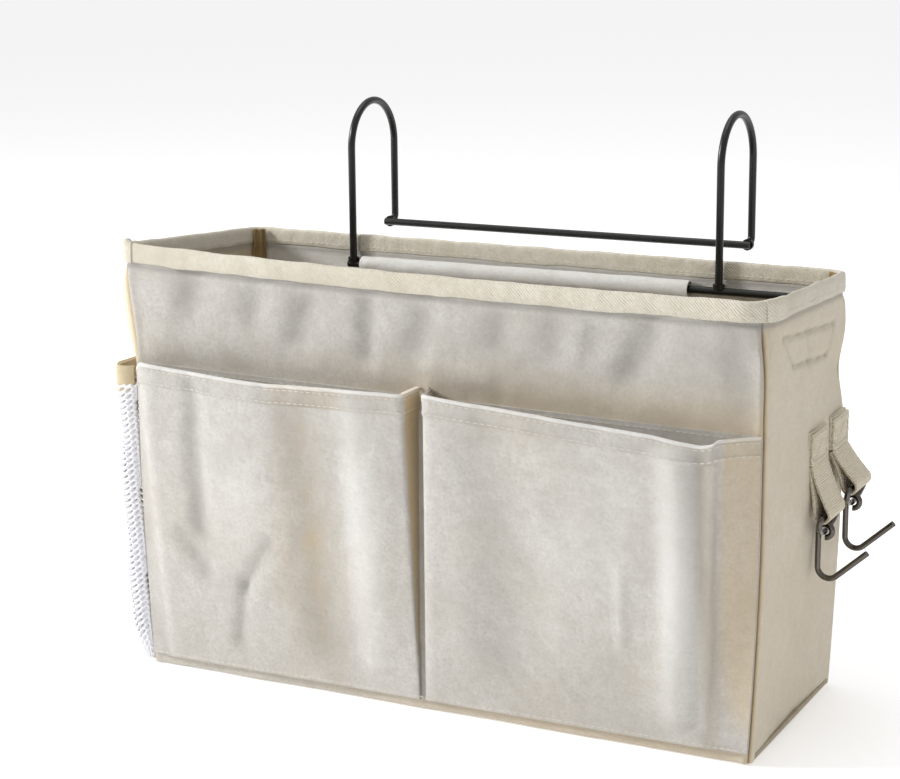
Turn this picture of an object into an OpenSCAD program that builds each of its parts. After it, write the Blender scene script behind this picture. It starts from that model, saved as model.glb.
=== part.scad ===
// Canvas hanging caddy with an over-rail wire hanger, two bellows pockets at the front,
// a net pocket on the left side and two webbing loops with wire hooks on the right side.
// +X is the right side, -Y the front, +Z up. The origin is the centre of the bottom face.

/* [Bag] */
// Width of the bag across the front
bag_w = 350; // [300:1:400]
// Depth of the bag from front to back
bag_d = 125; // [110:1:150]
// Height of the bag with its rim tape
bag_h = 225; // [210:1:240]
// Thickness of the canvas with its turned seam allowance
canvas_t = 1.6; // [1.2:0.1:2]
// Height of the rim tape on each side of the canvas
rim_tape_h = 10; // [8:1:14]
// Thickness of the rim tape
rim_tape_t = 0.8; // [0.6:0.1:1]

/* [Front pockets] */
// Height of the pockets' mouths above the bottom
pocket_h = 168; // [150:1:180]
// How far a pocket's mouth stands off the bag
pocket_mouth = 20; // [14:1:24]
// Distance from the bag's side seams to the pockets' outer edges
pocket_inset = 18; // [14:1:24]
// Gap between the two pockets, over the centre pleat
pocket_gap = 6; // [5:0.5:10]
// Distance of the centre pleat from the bag's middle, to the right
pleat_x = 4; // [-10:1:10]

/* [Net pocket] */
// Height of the net pocket's mouth above the bottom
net_h = 164; // [150:1:185]
// How far the net stands off the left side
net_mouth = 10; // [8:0.5:14]
// Height of the canvas band on the net's mouth
net_band_h = 15; // [12:1:20]

/* [Webbing loops and hooks] */
// Width of the webbing
webbing_w = 25; // [22:0.5:27]
// Length of a loop from its stitch line to the ring's bar
loop_len = 26; // [22:0.5:30]
// Lean of a loop away from the side panel
loop_lean = 16; // [12:1:24]
// Length of the rear webbing loop
rear_loop_len = 21; // [20:0.5:26]
// How far the rear loop leans away from the bag, in degrees
rear_loop_lean = 30; // [16:1:32]
// Diameter of the wire of rings and hooks
hook_wire_d = 3; // [2.4:0.1:3.2]

/* [Hanger] */
// Diameter of the hanger's wire
hanger_wire_d = 4; // [3:0.1:5]
// Distance between the two over-rail hooks
hanger_span = 216; // [180:1:240]
// Distance between the front and rear legs of an over-rail hook, between wire axes
rail_gap = 50; // [40:1:56]
// Height of the over-rail hooks above the bottom
hanger_top = 297; // [285:1:320]
// How far the hanger's bar in the sleeve reaches past the bag's middle, to the right
sleeve_bar_reach = 150; // [130:1:160]

/* [Hidden] */
$fn = 64;

eps = 0.01;
bead = 0.04;
side_x = bag_w / 2;
front_y = -bag_d / 2;
back_y = bag_d / 2;
panel_top = bag_h - rim_tape_t;
tape_bottom = bag_h - rim_tape_h;

// The base is two layers: the canvas bottom and the board that lies on it.
base_t = canvas_t;
board_t = 2.4;
board_gap = 0.8;

// Seam tapes lie in the inner corners.
seam_tape_w = 8;
seam_tape_t = 1;

// Bellows pockets: thin cloth with a turned hem, sewn along the bottom.
pocket_t = 1.4;
pocket_bottom = 6;
pocket_clear = 0.4;
hem_h = 10;
hem_t = 0.8;
backing_t = 0.8;
backing_top = pocket_h - 1;
pocket_back_y = front_y - backing_t;
pocket_reach = pocket_mouth - backing_t - pocket_clear - pocket_t;
pocket_lean = atan(pocket_reach / (pocket_h - pocket_bottom));
// Left and right edges of each pocket, and where their gussets meet the bag.
left_pocket_x = [-side_x + pocket_inset, pleat_x - pocket_gap / 2];
right_pocket_x = [pleat_x + pocket_gap / 2, side_x - pocket_inset];
outer_seam_x = side_x - 2;
pleat_seam_x = pleat_x - 6;

// Net pocket: a thin shell, closed along its two edges and its bottom.
net_t = 1.2;

// Webbing loops.
web_t = 1.5;
tab_h = 17;
stitch_z = 133;
loop_y = [13.5, 48.5];
loop_r = 3;
loop_slit = 0.7;

// Rings and hooks share one wire; the eye closes loosely round the ring.
hook_r = hook_wire_d / 2;
ring_clear = 0.5;
ring_half_w = webbing_w / 2 + hook_wire_d / 2 + 0.8;
ring_drop = 10;
ring_corner = 1.8;
ring_bow_turn = 80;
ring_foot_turn = 90 - ring_bow_turn / 2;
ring_bow_r = (ring_half_w - ring_corner * (1 - cos(ring_foot_turn))) / sin(ring_bow_turn / 2);
ring_leg = ring_drop - ring_corner * (1 + sin(ring_foot_turn))
    - ring_bow_r * (1 - cos(ring_bow_turn / 2));
ring_tilt = 11;
eye_r = hook_wire_d + ring_clear;
eye_opening = 92;

// The hook below its eye: a straight shank, a round bend and a straight tip.
hook_shank = 18.8;
hook_bend = 5.7;
hook_turn = 132;
hook_tip = 20.8;

// Hanger.
wire_r = hanger_wire_d / 2;
bar_y = 57;
bar_z = 206;
rear_y = bar_y + rail_gap;
cross_y = rear_y - 8;
cross_z = 224;
bend_r = rail_gap / 2;
foot_bend = 4;
sleeve_r = 4.6;
sleeve_t = 0.8;
sleeve_end = 6;
weld_r = wire_r + 1.1;

// ---------- helpers ----------

// Round wire of radius wr, bent as on a bench in the XY plane: each step is [feed, turn, bend].
// It feeds a straight length along +X, then turns by that angle (left is positive) at that radius.
// A bead a hair wider than the wire closes the joint after a turn that isn't square.
module bent_wire(steps, wr, i = 0) {
    feed = steps[i][0];
    turn = steps[i][1];
    bend = steps[i][2];
    side = turn < 0 ? -1 : 1;
    if (feed > 0) rotate([0, 90, 0]) cylinder(r = wr, h = feed);
    if (turn != 0) translate([feed, 0, 0]) mirror([0, turn < 0 ? 1 : 0, 0])
        translate([0, bend, 0]) rotate([0, 0, -90])
            rotate_extrude(angle = abs(turn)) translate([bend, 0]) circle(r = wr);
    if (i + 1 < len(steps)) translate([feed, side * bend, 0]) rotate([0, 0, turn])
        translate([0, -side * bend, 0]) {
            if (turn % 90 != 0) sphere(r = wr + bead);
            bent_wire(steps, wr, i + 1);
        }
}

// Stands a drawing in the XY plane up in the YZ plane: x becomes Y, y becomes Z, z becomes X.
module in_yz() { rotate([90, 0, 90]) children(); }
// Stands a drawing in the XY plane up in the XZ plane at y = 0, seen from the front.
module in_xz() { rotate([90, 0, 0]) children(); }

// ---------- bag ----------

module front_panel() {
    color("#e6e2dc")
        translate([-side_x, front_y, base_t])
            cube([bag_w, canvas_t, panel_top - base_t]);
}

module back_panel() {
    color("#ded9d0")
        translate([-side_x, back_y - canvas_t, base_t])
            cube([bag_w, canvas_t, panel_top - base_t]);
}

module side_panel(x) {
    translate([x, front_y + canvas_t, base_t])
        cube([canvas_t, bag_d - 2 * canvas_t, panel_top - base_t]);
}

module left_side_panel() { color("#cfc5b4") side_panel(-side_x); }
module right_side_panel() { color("#cfc5b4") side_panel(side_x - canvas_t); }

module base_panel() {
    color("#cfc5b4") translate([-side_x, front_y, 0]) cube([bag_w, bag_d, base_t]);
}

module base_board() {
    inset = canvas_t + seam_tape_t + board_gap;
    color("#b9ad97")
        translate([-side_x + inset, front_y + inset, base_t])
            cube([bag_w - 2 * inset, bag_d - 2 * inset, board_t]);
}

// Tape folded over the top edge of all four panels: an upturned channel run round the mouth.
module rim_tape() {
    h = rim_tape_h;
    color("#ead9b4") difference() {
        translate([-side_x - rim_tape_t, front_y - rim_tape_t, tape_bottom])
            cube([bag_w + 2 * rim_tape_t, bag_d + 2 * rim_tape_t, h]);
        difference() {
            translate([-side_x, front_y, tape_bottom - 1])
                cube([bag_w, bag_d, h + 1 - rim_tape_t]);
            translate([-side_x + canvas_t, front_y + canvas_t, tape_bottom - 2])
                cube([bag_w - 2 * canvas_t, bag_d - 2 * canvas_t, h + 2]);
        }
        wall = canvas_t + rim_tape_t;
        translate([-side_x + wall, front_y + wall, tape_bottom - 1])
            cube([bag_w - 2 * wall, bag_d - 2 * wall, h + 2]);
    }
}

// Angle-shaped tapes that bind the seams in the four upright inner corners.
module corner_seam_tapes() {
    floor_z = base_t + seam_tape_w;
    color("#b98f4e")
        for (sx = [-1, 1], sy = [-1, 1])
            scale([sx, sy, 1])
                translate([-side_x + canvas_t, front_y + canvas_t, floor_z])
                    difference() {
                        cube([seam_tape_w, seam_tape_w, tape_bottom - floor_z]);
                        translate([seam_tape_t, seam_tape_t, -1])
                            cube([seam_tape_w, seam_tape_w, bag_h]);
                    }
}

// Tape that binds the seam round the base, inside the bag.
module base_seam_tape() {
    color("#b98f4e") difference() {
        translate([-side_x + canvas_t, front_y + canvas_t, base_t])
            cube([bag_w - 2 * canvas_t, bag_d - 2 * canvas_t, seam_tape_w]);
        wall = canvas_t + seam_tape_t;
        translate([-side_x + wall, front_y + wall, base_t - 1])
            cube([bag_w - 2 * wall, bag_d - 2 * wall, seam_tape_w + 2]);
    }
}

// Cloth tube that holds the hanger's bar, sewn to the inside of the back panel between the hooks.
module hanger_sleeve() {
    half = hanger_span / 2 - sleeve_end;
    back = back_y - canvas_t;
    color("#e4e0d8") translate([-half, 0, 0]) in_yz() difference() {
        union() {
            translate([bar_y, bar_z]) cylinder(r = sleeve_r, h = 2 * half);
            translate([bar_y, bar_z - sleeve_r, 0])
                cube([back - bar_y, 2 * sleeve_r, 2 * half]);
        }
        translate([bar_y, bar_z, -1]) cylinder(r = sleeve_r - sleeve_t, h = 2 * half + 2);
        translate([back, bar_z - bag_d, -1]) cube([bag_d, 2 * bag_d, 2 * half + 2]);
    }
}

// ---------- front pockets ----------

// Second layer of cloth on the front panel, behind the pockets.
module pocket_backing() {
    half = side_x - 1;
    color("#dcd6cc") translate([-half, pocket_back_y, pocket_bottom])
        cube([2 * half, backing_t, backing_top - pocket_bottom]);
}

// Places a pocket's front in its own frame: x across, y away from the bag, z up the cloth.
module on_pocket_front() {
    translate([0, pocket_back_y - pocket_clear, pocket_bottom]) rotate([pocket_lean, 0, 0])
        translate([0, -pocket_t, 0]) children();
}

module pocket_front(x) {
    slope = (pocket_h - pocket_bottom) / cos(pocket_lean);
    on_pocket_front() {
        translate([x[0], 0, 0]) cube([x[1] - x[0], pocket_t, slope]);
        translate([x[0], -hem_t, slope - hem_h]) cube([x[1] - x[0], hem_t + eps, hem_h]);
    }
}

// Cloth that closes a pocket's side: it runs from the pocket's edge back to a seam on the bag,
// and is as deep as the pocket is open at each height.
module gusset(edge_x, seam_x) {
    low = pocket_bottom + 12;
    way = sign(seam_x - edge_x);
    function edge_y(z) = pocket_back_y - pocket_clear - (z - pocket_bottom) * tan(pocket_lean);
    module upright(x, y, z) translate([x, y, z]) cube([pocket_t, 0.6, eps]);
    x0 = way > 0 ? edge_x - pocket_t : edge_x;
    x1 = way > 0 ? seam_x - pocket_t : seam_x;
    seam_y = pocket_back_y - pocket_clear / 2 - 0.6;
    hull() for (z = [low, pocket_h - 2]) {
        upright(x0, edge_y(z) + 0.1, z);
        upright(x1, seam_y, z);
    }
}

module left_pocket_front() { color("#e6e2dc") pocket_front(left_pocket_x); }
module right_pocket_front() { color("#e6e2dc") pocket_front(right_pocket_x); }
module left_pocket_outer_gusset() {
    color("#cfc0a4") gusset(left_pocket_x[0] + pocket_t, -outer_seam_x + pocket_t);
}
module left_pocket_inner_gusset() { color("#cfc0a4") gusset(left_pocket_x[1], pleat_seam_x); }
module right_pocket_inner_gusset() {
    color("#cfc0a4") gusset(right_pocket_x[0] + pocket_t, pleat_seam_x + 5);
}
module right_pocket_outer_gusset() { color("#cfc0a4") gusset(right_pocket_x[1], outer_seam_x); }

// ---------- net pocket ----------

// Outline of the net pocket in plan: a shallow bow from one upright seam to the other.
module net_plan(t) {
    out = net_mouth;
    edge = 8;
    difference() {
        polygon([
            [0, front_y], [0, back_y], [-out / 2, back_y - edge / 3], [-out, back_y - edge],
            [-out, front_y + edge], [-out / 2, front_y + edge / 3]
        ]);
        polygon([
            [1, front_y + 2 * t], [1, back_y - 2 * t], [-out / 2 + t, back_y - edge / 3 - t],
            [-out + t, back_y - edge - t], [-out + t, front_y + edge + t],
            [-out / 2 + t, front_y + edge / 3 + t]
        ]);
    }
}

module net_pocket() {
    low = 3;
    color("#f4f2f2") translate([-side_x, 0, low]) {
        linear_extrude(net_h - net_band_h - low) net_plan(net_t);
        translate([-net_mouth, front_y + 8, 0]) cube([net_mouth, bag_d - 16, net_t]);
    }
}

module net_pocket_band() {
    color("#cbb894")
        translate([-side_x, 0, net_h - net_band_h]) linear_extrude(net_band_h) net_plan(net_t);
}

// ---------- webbing loops, rings and hooks ----------

loop_top_x = side_x + web_t;
function hang(y) = y == loop_y[0] ? [loop_len, loop_lean] : [rear_loop_len, rear_loop_lean];
// Height of the middle of a loop's neck: its outer corner meets the lower edge of the tab.
function neck_z(y) = stitch_z + 0.4 - web_t * sin(hang(y)[1]);
function ring_at(y) = [loop_top_x + hang(y)[0] * sin(hang(y)[1]), neck_z(y) - hang(y)[0] * cos(hang(y)[1])];
function eye_at(y) = ring_at(y) - ring_drop * [sin(ring_tilt), cos(ring_tilt)];

// Both ends of the webbing, sewn flat on the side panel one over the other.
module loop_tab(y) {
    translate([side_x, y - webbing_w / 2, stitch_z + 0.4]) cube([2 * web_t, webbing_w, tab_h]);
}

// The hanging part of a webbing strip: a drop shape with the ring's bar in its bottom bend.
module webbing_loop(y) {
    r = loop_r + web_t;
    below = loop_r - hook_r - 0.4;
    translate([loop_top_x, y + webbing_w / 2, neck_z(y)]) rotate([0, -hang(y)[1], 0]) in_xz()
        linear_extrude(webbing_w) difference() {
            hull() {
                translate([0, -hang(y)[0] + below]) circle(r = r);
                translate([-web_t, -0.8]) square([2 * web_t, 0.8]);
            }
            hull() {
                translate([0, -hang(y)[0] + below]) circle(r = loop_r);
                translate([-loop_slit / 2, -6]) square([loop_slit, 1]);
            }
        }
}

// Ring: a straight bar in the webbing, two short legs beside it and a bow that carries the hook,
// drawn as two mirrored halves.
module ring(y) {
    translate([ring_at(y)[0], y, ring_at(y)[1]]) rotate([0, ring_tilt, 0]) in_yz()
        for (s = [0, 1]) mirror([s, 0, 0]) rotate([0, 0, 180]) bent_wire([
            [ring_half_w - ring_corner, 90, ring_corner],
            [ring_leg, ring_foot_turn, ring_corner],
            [0, ring_bow_turn / 2, ring_bow_r],
        ], hook_r);
}

// J-shaped wire hook whose eye closes round the bow of the ring.
module wire_hook(y) {
    translate([eye_at(y)[0], y, eye_at(y)[1]]) in_xz() translate([-eye_r, 0, 0]) {
        rotate([0, 0, 90]) bent_wire([[0, eye_opening - 360, eye_r]], hook_r);
        rotate([0, 0, -90])
            bent_wire([[hook_shank, hook_turn, hook_bend], [hook_tip, 0, 0]], hook_r);
    }
}

module front_loop_tab() { color("#e0d3b4") loop_tab(loop_y[0]); }
module rear_loop_tab() { color("#e0d3b4") loop_tab(loop_y[1]); }
module front_webbing_loop() { color("#e0d3b4") webbing_loop(loop_y[0]); }
module rear_webbing_loop() { color("#e0d3b4") webbing_loop(loop_y[1]); }
module front_ring() { color("#8f8f90") ring(loop_y[0]); }
module rear_ring() { color("#8f8f90") ring(loop_y[1]); }
module front_wire_hook() { color("#8f8f90") wire_hook(loop_y[0]); }
module rear_wire_hook() { color("#8f8f90") wire_hook(loop_y[1]); }

// ---------- hanger ----------

// Straight bar along X, centred.
module bar(len, y, z) {
    translate([-len / 2, y, z]) rotate([0, 90, 0]) cylinder(r = wire_r, h = len);
}

// Upturned U that goes over a rail: up the front, over, and down to a foot bent forwards.
// Both ends are notched to fit round the bars that they are welded to.
module over_rail_hook(x) {
    crown_z = hanger_top - wire_r - bend_r;
    steps = [
        [crown_z - bar_z, -180, bend_r],
        [crown_z - cross_z - foot_bend, -90, foot_bend],
        [rear_y - cross_y - foot_bend, 0, 0]
    ];
    difference() {
        translate([x, 0, 0]) in_yz() translate([bar_y, bar_z, 0]) rotate([0, 0, 90])
            bent_wire(steps, wire_r);
        bar(2 * sleeve_bar_reach, bar_y, bar_z);
        bar(2 * sleeve_bar_reach, cross_y, cross_z);
    }
}

module hanger_left_hook() { color("#1b1b1d") over_rail_hook(-hanger_span / 2); }
module hanger_right_hook() { color("#1b1b1d") over_rail_hook(hanger_span / 2); }
module hanger_crossbar() { color("#1b1b1d") bar(hanger_span + 2 * wire_r, cross_y, cross_z); }
module hanger_sleeve_bar() {
    left_end = -hanger_span / 2 - weld_r;
    length = sleeve_bar_reach - left_end;
    color("#1b1b1d") translate([left_end + length / 2, 0, 0]) bar(length, bar_y, bar_z);
}

// A collar of weld round the end of a wire that stands on a bar; z runs up the wire.
module weld_collar() {
    difference() {
        translate([0, 0, wire_r - 0.8]) cylinder(r = weld_r, h = 2.6);
        translate([-weld_r - 1, 0, 0]) rotate([0, 90, 0])
            cylinder(r = wire_r, h = 2 * weld_r + 2);
        cylinder(r = wire_r, h = 10);
    }
}

module hanger_welds() {
    color("#1b1b1d") for (s = [-1, 1]) translate([s * hanger_span / 2, 0, 0]) {
        translate([0, bar_y, bar_z]) weld_collar();
        translate([0, cross_y, cross_z]) rotate([-90, 0, 0]) weld_collar();
    }
}

front_panel();
back_panel();
left_side_panel();
right_side_panel();
base_panel();
base_board();
rim_tape();
corner_seam_tapes();
base_seam_tape();
hanger_sleeve();
pocket_backing();
left_pocket_front();
left_pocket_outer_gusset();
left_pocket_inner_gusset();
right_pocket_front();
right_pocket_inner_gusset();
right_pocket_outer_gusset();
net_pocket();
net_pocket_band();
front_loop_tab();
front_webbing_loop();
front_ring();
front_wire_hook();
rear_loop_tab();
rear_webbing_loop();
rear_ring();
rear_wire_hook();
hanger_left_hook();
hanger_right_hook();
hanger_crossbar();
hanger_sleeve_bar();
hanger_welds();
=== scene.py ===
"""Canvas hanging caddy: the finished cloth, net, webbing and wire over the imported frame."""

import logging
import math
from collections.abc import Callable
from dataclasses import dataclass, field
from enum import Enum

import bpy
import numpy as np
from mathutils import Matrix, Vector

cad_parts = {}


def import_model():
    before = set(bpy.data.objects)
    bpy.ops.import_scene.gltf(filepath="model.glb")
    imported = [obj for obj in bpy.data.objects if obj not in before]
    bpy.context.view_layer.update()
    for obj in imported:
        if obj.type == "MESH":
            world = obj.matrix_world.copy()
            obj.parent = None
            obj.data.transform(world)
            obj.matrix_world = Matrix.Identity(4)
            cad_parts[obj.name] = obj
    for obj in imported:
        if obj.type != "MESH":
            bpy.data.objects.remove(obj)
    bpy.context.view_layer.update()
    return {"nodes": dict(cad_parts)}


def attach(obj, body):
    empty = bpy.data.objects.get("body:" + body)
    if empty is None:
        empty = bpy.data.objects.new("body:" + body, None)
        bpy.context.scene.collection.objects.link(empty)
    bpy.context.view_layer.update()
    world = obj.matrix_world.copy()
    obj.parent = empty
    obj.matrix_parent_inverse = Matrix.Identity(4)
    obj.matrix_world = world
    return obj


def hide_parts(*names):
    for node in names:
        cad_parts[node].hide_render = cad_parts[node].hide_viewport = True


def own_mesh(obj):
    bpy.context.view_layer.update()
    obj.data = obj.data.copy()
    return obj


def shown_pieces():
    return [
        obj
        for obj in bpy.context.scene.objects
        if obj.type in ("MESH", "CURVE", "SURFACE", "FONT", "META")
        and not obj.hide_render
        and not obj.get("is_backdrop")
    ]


Array = np.ndarray
Socket = bpy.types.NodeSocket
Object = bpy.types.Object
Material = bpy.types.Material

MM = 0.001
LOG = logging.getLogger("caddy")

# ---------- sizes in millimetres ----------

HALF_W = 175.0
HALF_D = 62.5
HEIGHT = 225.0
CANVAS = 1.6
POCKET_FACE = -HALF_D - 1.2
POCKET_BOTTOM = 6.0
POCKET_RISE = 162.0
POCKET_LEAN = math.tan(math.radians(6.13))
WEB_W = 25.0
WEB_T = 1.5
LOOP_Y = (13.5, 48.5)
STITCH_Z = 133.0
STITCH_STEP = 3.6


def smoothstep(low: Array | float, high: Array | float, value: Array | float) -> Array:
    """Smooth ramp from 0 at low to 1 at high."""
    share = np.clip((value - low) / (high - low), 0.0, 1.0)
    return share * share * (3.0 - 2.0 * share)


def waves(u: Array, v: Array, scale: float, seed: int, octaves: int = 3) -> Array:
    """Smooth unevenness between about -1 and 1.

    Args:
        u: first coordinate, in millimetres.
        v: second coordinate, in millimetres.
        scale: size of the largest wave, in millimetres.
        seed: picks the pattern.
        octaves: how many sizes of wave are added up.

    Returns:
        The height at every point.
    """
    rng = np.random.default_rng(seed)
    total = np.zeros(np.broadcast(u, v).shape)
    size = scale
    gain = 0.5
    for _ in range(octaves):
        for _ in range(4):
            turn = rng.uniform(0.0, 2.0 * math.pi)
            phase = rng.uniform(0.0, 2.0 * math.pi)
            along = (u * math.cos(turn) + v * math.sin(turn)) / size
            total = total + gain * 0.5 * np.sin(2.0 * math.pi * along + phase)
        size *= 0.47
        gain *= 0.55
    return total


# ---------- the bag's shape ----------


class Side(Enum):
    """The bag's four upright sides, as seen from its front."""

    FRONT = 0
    RIGHT = 1
    BACK = 2
    LEFT = 3


SIDE_START = {Side.FRONT: 0.0, Side.RIGHT: 350.0, Side.BACK: 475.0, Side.LEFT: 825.0}
SIDE_LENGTH = {Side.FRONT: 350.0, Side.RIGHT: 125.0, Side.BACK: 350.0, Side.LEFT: 125.0}
GIRTH = 950.0
SIDE_ORIGIN = {
    Side.FRONT: (-HALF_W, -HALF_D),
    Side.RIGHT: (HALF_W, -HALF_D),
    Side.BACK: (HALF_W, HALF_D),
    Side.LEFT: (-HALF_W, HALF_D),
}
SIDE_ALONG = {Side.FRONT: (1, 0), Side.RIGHT: (0, 1), Side.BACK: (-1, 0), Side.LEFT: (0, -1)}
SIDE_OUT = {Side.FRONT: (0, -1), Side.RIGHT: (1, 0), Side.BACK: (0, 1), Side.LEFT: (-1, 0)}


@dataclass(frozen=True)
class Fold:
    """A soft ridge or dent in cloth, from one point to another on a side, in millimetres."""

    start: tuple[float, float]
    end: tuple[float, float]
    width: float
    depth: float
    sharp: float = 0.0

    def height(self, along: Array, up: Array) -> Array:
        """Height of the fold over the plain cloth at each point.

        Args:
            along: distance along the side.
            up: height over the floor.

        Returns:
            The outward offset, in millimetres.
        """
        a = np.array(self.start)
        b = np.array(self.end)
        run = b - a
        length = max(float(np.hypot(*run)), 1e-6)
        share = ((along - a[0]) * run[0] + (up - a[1]) * run[1]) / length**2
        inside = np.clip(share, 0.0, 1.0)
        gap = np.hypot(along - a[0] - inside * run[0], up - a[1] - inside * run[1])
        soft = np.exp(-((gap / self.width) ** 2))
        crisp = np.exp(-gap / (0.55 * self.width))
        return self.depth * (soft * (1.0 - self.sharp) + crisp * self.sharp)


@dataclass(frozen=True)
class ShadingPatch:
    """A soft patch of painted light and shade, where cloth looks paler, greyer or more beige.

    Attributes:
        centre: x and height.
        reach: half widths.
        pale: how much painted light it has at its middle.
        grey: how much painted shade it has at its middle.
        beige: how much beige painted shade it has at its middle.
    """

    centre: tuple[float, float]
    reach: tuple[float, float]
    pale: float = 0.0
    grey: float = 0.0
    beige: float = 0.0

    def amount(self, along: Array, up: Array) -> Array:
        """Share of the patch's painted light and shade at each point.

        Args:
            along: x of each point.
            up: height of each point.

        Returns:
            The share, from 0 to 1.
        """
        a = (along - self.centre[0]) / self.reach[0]
        b = (up - self.centre[1]) / self.reach[1]
        return np.exp(-(a**4) - b**2)


@dataclass
class BagShape:
    """Where the bag's cloth lies: a box with rounded corners, a slack rim and soft walls."""

    rim_lift: dict = field(
        default_factory=lambda: {(-1, -1): 6.0, (1, -1): 0.5, (1, 1): -4.0, (-1, 1): -2.5}
    )
    rim_radius: tuple[float, ...] = (15.0, 9.0, 9.0, 3.0)
    wall_radius: float = 3.0

    def corner_radius(self, corner: int, up: Array) -> Array:
        """Plan radius of a corner: 0 front right, 1 back right, 2 back left, 3 front left."""
        low = self.wall_radius
        return low + (self.rim_radius[corner] - low) * smoothstep(186.0, 219.0, up)

    def plan(self, around: Array, up: Array) -> tuple[Array, Array, Array, Array]:
        """Point and outward direction in plan.

        Args:
            around: distance round the box from its front left corner.
            up: height over the floor.

        Returns:
            x, y, outward x, outward y.
        """
        around = np.mod(np.asarray(around, float), GIRTH)
        around, up = np.broadcast_arrays(around, np.asarray(up, float))
        x = np.zeros(around.shape)
        y = np.zeros(around.shape)
        nx = np.zeros(around.shape)
        ny = np.zeros(around.shape)
        for side in Side:
            start = SIDE_START[side]
            length = SIDE_LENGTH[side]
            here = (around >= start) & (around < start + length)
            ox, oy = SIDE_ORIGIN[side]
            dx, dy = SIDE_ALONG[side]
            sx, sy = SIDE_OUT[side]
            a = around - start
            last = self.corner_radius(side.value, up)
            first = self.corner_radius((side.value + 3) % 4, up)
            px = ox + dx * a
            py = oy + dy * a
            qx = np.full(around.shape, float(sx))
            qy = np.full(around.shape, float(sy))
            for gap, radius, way in ((length - a, last, 1.0), (a, first, -1.0)):
                near = gap < radius
                theta = np.radians(45.0) * (1.0 - gap / radius)
                middle = (length - radius) if way > 0 else radius
                cx = ox + dx * middle - sx * radius
                cy = oy + dy * middle - sy * radius
                ux = dx * way * np.sin(theta) + sx * np.cos(theta)
                uy = dy * way * np.sin(theta) + sy * np.cos(theta)
                px = np.where(near, cx + radius * ux, px)
                py = np.where(near, cy + radius * uy, py)
                qx = np.where(near, ux, qx)
                qy = np.where(near, uy, qy)
            x = np.where(here, px, x)
            y = np.where(here, py, y)
            nx = np.where(here, qx, nx)
            ny = np.where(here, qy, ny)
        return x, y, nx, ny

    def settle(self, x: Array, y: Array, z: Array) -> tuple[Array, Array, Array]:
        """Moves points of the plain box to where the slack bag has them.

        Args:
            x: across the bag.
            y: from front to back.
            z: up.

        Returns:
            The settled x, y, z.
        """
        narrow = 4.0 * np.clip(1.0 - z / 112.0, 0.0, 1.0) ** 1.5
        x = x * (1.0 - narrow / HALF_W)
        tx = np.clip((x / HALF_W + 1.0) / 2.0, 0.0, 1.0)
        ty = np.clip((y / HALF_D + 1.0) / 2.0, 0.0, 1.0)
        flare = (1.0 - tx) ** 8 * (1.0 - ty) ** 2 * smoothstep(170.0, 213.0, z)
        x = x - 4.5 * flare
        lift = self.rim_lift
        front = lift[(-1, -1)] * (1.0 - tx) ** 2.6 + lift[(1, -1)] * tx
        back = lift[(-1, 1)] * (1.0 - tx) + lift[(1, 1)] * tx
        dz = (front * (1.0 - ty) + back * ty) * smoothstep(150.0, 225.0, z)
        return x, y, z + dz

    def at(self, around: Array, up: Array, out: Array) -> Array:
        """Points on the settled bag.

        Args:
            around: distance round the box from its front left corner.
            up: height over the floor before settling.
            out: outward offset from the canvas face.

        Returns:
            An array of points in metres.
        """
        x, y, nx, ny = self.plan(around, up)
        x = x + nx * (out + self.bulge(around, up))
        y = y + ny * (out + self.bulge(around, up))
        x, y, z = self.settle(x, y, np.broadcast_to(up, x.shape).astype(float))
        return np.stack([x, y, z], -1) * MM

    def bulge(self, around: Array, up: Array) -> Array:
        """How far the walls belly out from the plain box.

        Args:
            around: distance round the box from its front left corner.
            up: height over the floor, in millimetres.

        Returns:
            The outward offset, in millimetres.
        """
        around = np.mod(around, GIRTH)
        right = np.clip((around - 350.0) / 125.0, 0.0, 1.0)
        back = np.clip((around - 475.0) / 350.0, 0.0, 1.0)
        left = np.clip((around - 825.0) / 125.0, 0.0, 1.0)
        belly = 1.6 * np.sin(math.pi * right) ** 1.2 * np.exp(-(((up - 118.0) / 34.0) ** 2))
        dip = np.exp(-(((up - 172.0) / 17.0) ** 2))
        pinch = -3.4 * smoothstep(0.45, 1.0, right) * (1.0 - smoothstep(0.0, 0.12, back)) * dip
        sag = -2.2 * np.sin(math.pi * right) ** 2 * np.exp(-(((up - 30.0) / 34.0) ** 2))
        plump = 1.4 * np.sin(math.pi * back) ** 2 * np.exp(-(((up - 90.0) / 60.0) ** 2))
        slack = 7.0 * smoothstep(0.3, 0.85, left) * (1.0 - smoothstep(0.95, 1.0, left))
        slack = slack * np.exp(-(((up - 190.0) / 20.0) ** 4))
        return belly + pinch + sag + plump + slack


SHAPE = BagShape()


# ---------- mesh tools ----------


def only(obj: Object) -> None:
    """Selects just this object and makes it active.

    Args:
        obj: the object.
    """
    bpy.ops.object.select_all(action="DESELECT")
    obj.select_set(True)
    bpy.context.view_layer.objects.active = obj


def link_piece(name: str, points: Array, faces: list, uv: Array) -> Object:
    """A new piece in the scene.

    Args:
        name: the piece's name.
        points: corners, in metres.
        faces: lists of corners.
        uv: one pair per corner, in metres of cloth.

    Returns:
        The piece.
    """
    mesh = bpy.data.meshes.new(name)
    mesh.from_pydata(points.reshape(-1, 3).tolist(), [], faces)
    write_uv(mesh, uv.reshape(-1, 2))
    obj = bpy.data.objects.new(name, mesh)
    bpy.context.scene.collection.objects.link(obj)
    return obj


def join_pieces(name: str, pieces: list[Object]) -> Object:
    """Joins pieces into the first of them, under a new name.

    Args:
        name: the joined piece's name.
        pieces: the pieces, which are used up.

    Returns:
        The joined piece.
    """
    only(pieces[0])
    for piece in pieces[1:]:
        piece.select_set(True)
    bpy.ops.object.join()
    pieces[0].name = name
    return pieces[0]


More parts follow.
